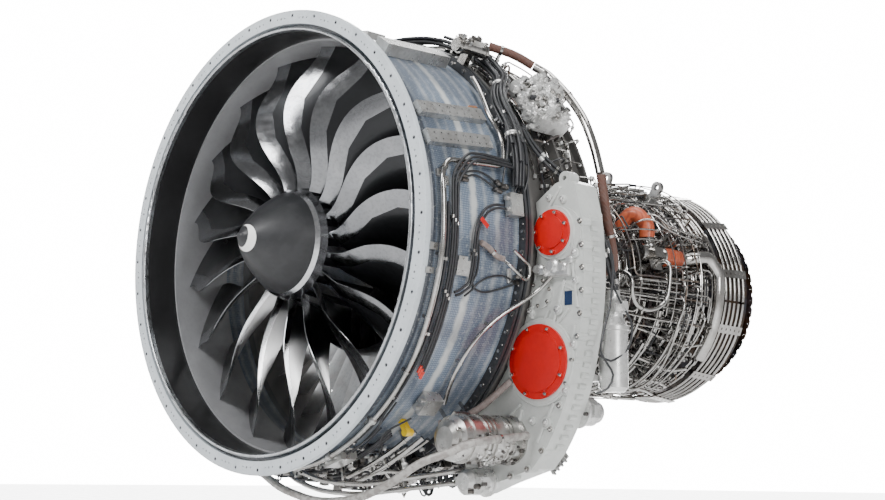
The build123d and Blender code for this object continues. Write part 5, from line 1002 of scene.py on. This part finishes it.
# Two cables that drop behind the gearbox, as (x, along, z)
DROP_CABLES = (
    ((1.27, 0.829, -0.039), (1.27, 0.854, -0.12), (1.27, 0.853, -0.226), (1.271, 0.838, -0.312),
     (1.271, 0.798, -0.419), (1.268, 0.778, -0.504), (1.271, 0.822, -0.563), (1.271, 0.855, -0.602),
     (1.26, 0.834, -0.657), (1.235, 0.79, -0.68)),
    ((1.262, 0.835, -0.035), (1.266, 0.866, -0.126), (1.266, 0.868, -0.225), (1.274, 0.918, -0.309),
     (1.276, 0.971, -0.372), (1.276, 0.97, -0.448), (1.274, 0.929, -0.502), (1.262, 0.849, -0.544),
     (1.24, 0.8, -0.52)))

# A pair of hoses from the trunk to the gearbox, and the tubes along the flange, which both get bands
PAIR = ((1.052, 21, 0.672), (1.068, 16.5, 0.72), (1.078, 13.2, 0.8), (1.094, 11.4, 0.862),
        (1.14, 4.6, 0.892), (1.178, -4, 0.925), (1.205, -11, 0.972))
FLANGE_TUBES = [(1.006, angle, 0.118) for angle in (-44, -54, -64, -76, -84)]

cables = Batch("case_cables", paints["black_cable"])
for lift, shift, count in TRUNK_CABLES:
    places = [(radius + lift, angle, along + shift) for radius, angle, along in TRUNK[:count]]
    cables.tube(route(places), TRUNK_CABLE)
for places in THIN_CABLES:
    cables.tube(route(places), THIN_CABLE, 8)
for lift in (0.0, 0.018):
    for shift in (0.0, 0.019, 0.038):
        places = [(radius + lift, angle, along + shift) for radius, angle, along in OVER_TOP]
        cables.tube(route(places) + [polar(*TOP_END) + AFT * shift], TOP_CABLE)
for places in DROP_CABLES:
    cables.tube([Vector(place) for place in places], DROP_CABLE, 8)
cables.finish()


def strap(batch, radius, angle, along, width):
    """A flat band round the trunk, across its route."""
    middle = polar(radius, angle, along)
    heading = polar(radius, angle - 1, along) - middle
    outward = frame_at(radius, angle, along).col[2].to_3d()
    across = heading.cross(outward).normalized()
    matrix = Matrix((across, outward, heading.normalized())).transposed().to_4x4()
    matrix.translation = middle
    matrix = matrix @ Matrix.Diagonal((width / 0.1, 0.56, 1, 1))
    batch.turned(((0.05, -0.009), (0.052, -0.007), (0.052, 0.007), (0.05, 0.009)), matrix, 28)


straps = Batch("case_straps", paints["bracket_metal"])
for radius, angle, along, width in ((1.053, 40.5, 0.664, 0.086), (1.048, 23.5, 0.58, 0.09),
                                    (1.05, 55.5, 0.742, 0.088)):
    strap(straps, radius, angle, along, width)
for shift, turn in ((0.0, 0.0), (0.019, 1.2)):
    pair = [(radius, angle + turn / radius, along + shift) for radius, angle, along in PAIR]
    banded(straps, route(pair), 0.0085, 0.13, 0.02, 0.003)
banded(straps, route(FLANGE_TUBES), 0.014, 0.3, 0.016)
straps.finish()


# Clips, plates, bolts and plugs on the fan case

def seat_box(batch, width, length, height, angle, along, turn, edge=0.002):
    """A block turned on the fan case."""
    seat = frame_at(ground(case_surface, angle, along) - SUNK, angle, along)
    matrix = seat @ Matrix.Rotation(math.radians(turn), 4, "Z")
    batch.box(width, length, height, matrix, edge)
    return matrix


copper = Batch("case_clips", copper_metal)
for angle, along, turn in ((16.8, 0.411, 20), (-6.9, 0.206, 88), (34.0, 0.48, 10), (47, 0.655, 20)):
    seat_box(copper, 0.014, 0.05, 0.012, angle, along, turn)
copper.finish()

case_plates = Batch("case_plates", paints["bracket_metal"])
case_bolts = Batch("case_bolts", paints["bright_metal"])
for width, length, height, angle, along, turn in (
        (0.12, 0.018, 0.018, 12.6, 0.25, -24), (0.07, 0.052, 0.02, -10.2, 0.262, 0),
        (0.06, 0.022, 0.012, -11.2, 0.552, 14), (0.044, 0.03, 0.01, -55.0, 0.14, 10),
        (0.044, 0.034, 0.012, -64.0, 0.17, 10), (0.04, 0.026, 0.01, 9.4, 0.172, 0),
        (0.03, 0.044, 0.012, -6.9, 0.1, 0), (0.026, 0.044, 0.012, -12.6, 0.094, 0),
        (0.03, 0.04, 0.014, 11.0, 0.14, 0)):
    seat = seat_box(case_plates, width, length, height, angle, along, turn)
    for side in (-1, 1):
        case_bolts.bolt(seat @ Matrix.Translation((side * (width / 2 - 0.01), 0, height)), 0.0035)
case_plates.finish()
bolt_ring(case_bolts, case_surface, 0.9995, 0.56, 1, 96, 0.0052)
case_bolts.finish()

plugs = Batch("case_plugs", dark_metal)
for place, direction, size in (
        ((0.992, 11.0, 0.474), (0, -1, 0.3), 0.011), ((0.992, 9.2, 0.462), (0, -1, 0.2), 0.01),
        ((0.994, 10.4, 0.5), (0, 1, 0), 0.012), ((0.996, 8.0, 0.545), (0, 0.3, -1), 0.012),
        ((0.992, 6.0, 0.59), (0, 0.2, -1), 0.012), ((0.994, -12.5, 0.6), (0, 1, 0), 0.01),
        ((0.99, 13.1, 0.255), (0, -1, 0), 0.009), ((0.99, 11.3, 0.262), (0, -1, 0), 0.009),
        ((0.99, 10.3, 0.268), (0, -1, 0), 0.009)):
    plugs.turned(((size, -0.022), (size, 0.004), (size * 1.25, 0.006), (size * 1.25, 0.016),
                  (size * 0.8, 0.018), (size * 0.8, 0.024)), facing(polar(*place), direction), 14)
plugs.finish()

tag = Batch("case_tag", paints["cover_red"])
tag.box(0.02, 0.052, 0.003, frame_at(1.001, 0.4, 0.362) @ Matrix.Rotation(math.radians(-38), 4, "Z"), 0.001)
tag.finish()


# Lights, floor and camera

def area_light(name, place, aim, size, power):
    data = bpy.data.lights.new(name, "AREA")
    data.shape = "RECTANGLE"
    data.size, data.size_y = size
    data.energy = power
    light = bpy.data.objects.new(name, data)
    bpy.context.collection.objects.link(light)
    light.location = place
    light.rotation_euler = (Vector(aim) - Vector(place)).to_track_quat("-Z", "Y").to_euler()


area_light("key", (1.0, -7.5, 6.0), (0, 0.2, 0), (5.0, 3.0), 920)
area_light("fill", (8.5, -1.0, 2.5), (0, 1.0, 0), (2.4, 4.0), 460)
area_light("top", (1.5, 1.5, 7.5), (0, 1.5, 0), (4.5, 6.0), 520)
area_light("left_strip", (-6.5, -5.0, 1.5), (0, 0, 0), (1.6, 5.0), 120)

# Strength of the white backdrop behind the engine, and of the sky towards the floor and overhead
BACKDROP_GLOW = 16.0
DOME_LOW = 1.15
DOME_HIGH = 0.28
TOWARD_BACKDROP = (-0.7056, 0.6916, 0.1539)

world = bpy.data.worlds.new("studio")
world.use_nodes = True
tree = world.node_tree
sky = tree.nodes["Background"]
direction = add_node(tree, "ShaderNodeTexCoord", {}).outputs["Generated"]
height = add_node(tree, "ShaderNodeSeparateXYZ", {0: direction}).outputs["Z"]
toward_backdrop = add_node(tree, "ShaderNodeVectorMath", {0: direction, 1: TOWARD_BACKDROP},
                           operation="DOT_PRODUCT").outputs["Value"]
backdrop = add_node(tree, "ShaderNodeMapRange",
                    {0: toward_backdrop, 1: 0.885, 2: 0.925, 3: 0.0, 4: BACKDROP_GLOW},
                    interpolation_type="SMOOTHSTEP").outputs[0]
dome = add_node(tree, "ShaderNodeMapRange",
                {0: height, 1: -0.3, 2: 0.3, 3: DOME_LOW, 4: DOME_HIGH}).outputs[0]
glow = add_node(tree, "ShaderNodeMath", {0: backdrop, 1: dome}, operation="MAXIMUM")
tree.links.new(glow.outputs[0], sky.inputs["Strength"])
sky.inputs["Color"].default_value = (1, 1, 1, 1)
bpy.context.scene.world = world

FLOOR_REACH = 60.0
FLOOR_LEVEL = -1.45
floor_mesh = bpy.data.meshes.new("floor")
floor_corners = [(FLOOR_REACH * x, FLOOR_REACH * y, 0) for x, y in ((-1, -1), (1, -1), (1, 1), (-1, 1))]
floor_mesh.from_pydata(floor_corners, [], [(0, 1, 2, 3)])
floor = bpy.data.objects.new("floor", floor_mesh)
floor.location = (0, 0, FLOOR_LEVEL)
floor_shader = Shader("floor_paint", (0.92, 0.92, 0.92), 0.0, 0.28)
floor_mesh.materials.append(floor_shader.wear(3, 0.05).done())
bpy.context.collection.objects.link(floor)

# The camera, fitted to the outlines of the flange and of the turbine
camera_data = bpy.data.cameras.new("camera")
camera_data.lens = 59.95
camera_data.sensor_width = 36.0
camera_data.clip_end = 200.0
camera_data.dof.use_dof = False
camera = bpy.data.objects.new("camera", camera_data)
bpy.context.collection.objects.link(camera)
right = Vector((0.70105481, 0.71303819, 0.00993482))
upward = Vector((0.10288793, -0.11492511, 0.98803152))
backward = Vector((0.70564597, -0.69164208, -0.15393182))
camera.matrix_world = Matrix((right, upward, backward)).transposed().to_4x4()
camera.location = (5.13711409, -3.93222285, -1.03741494)
bpy.context.scene.camera = camera
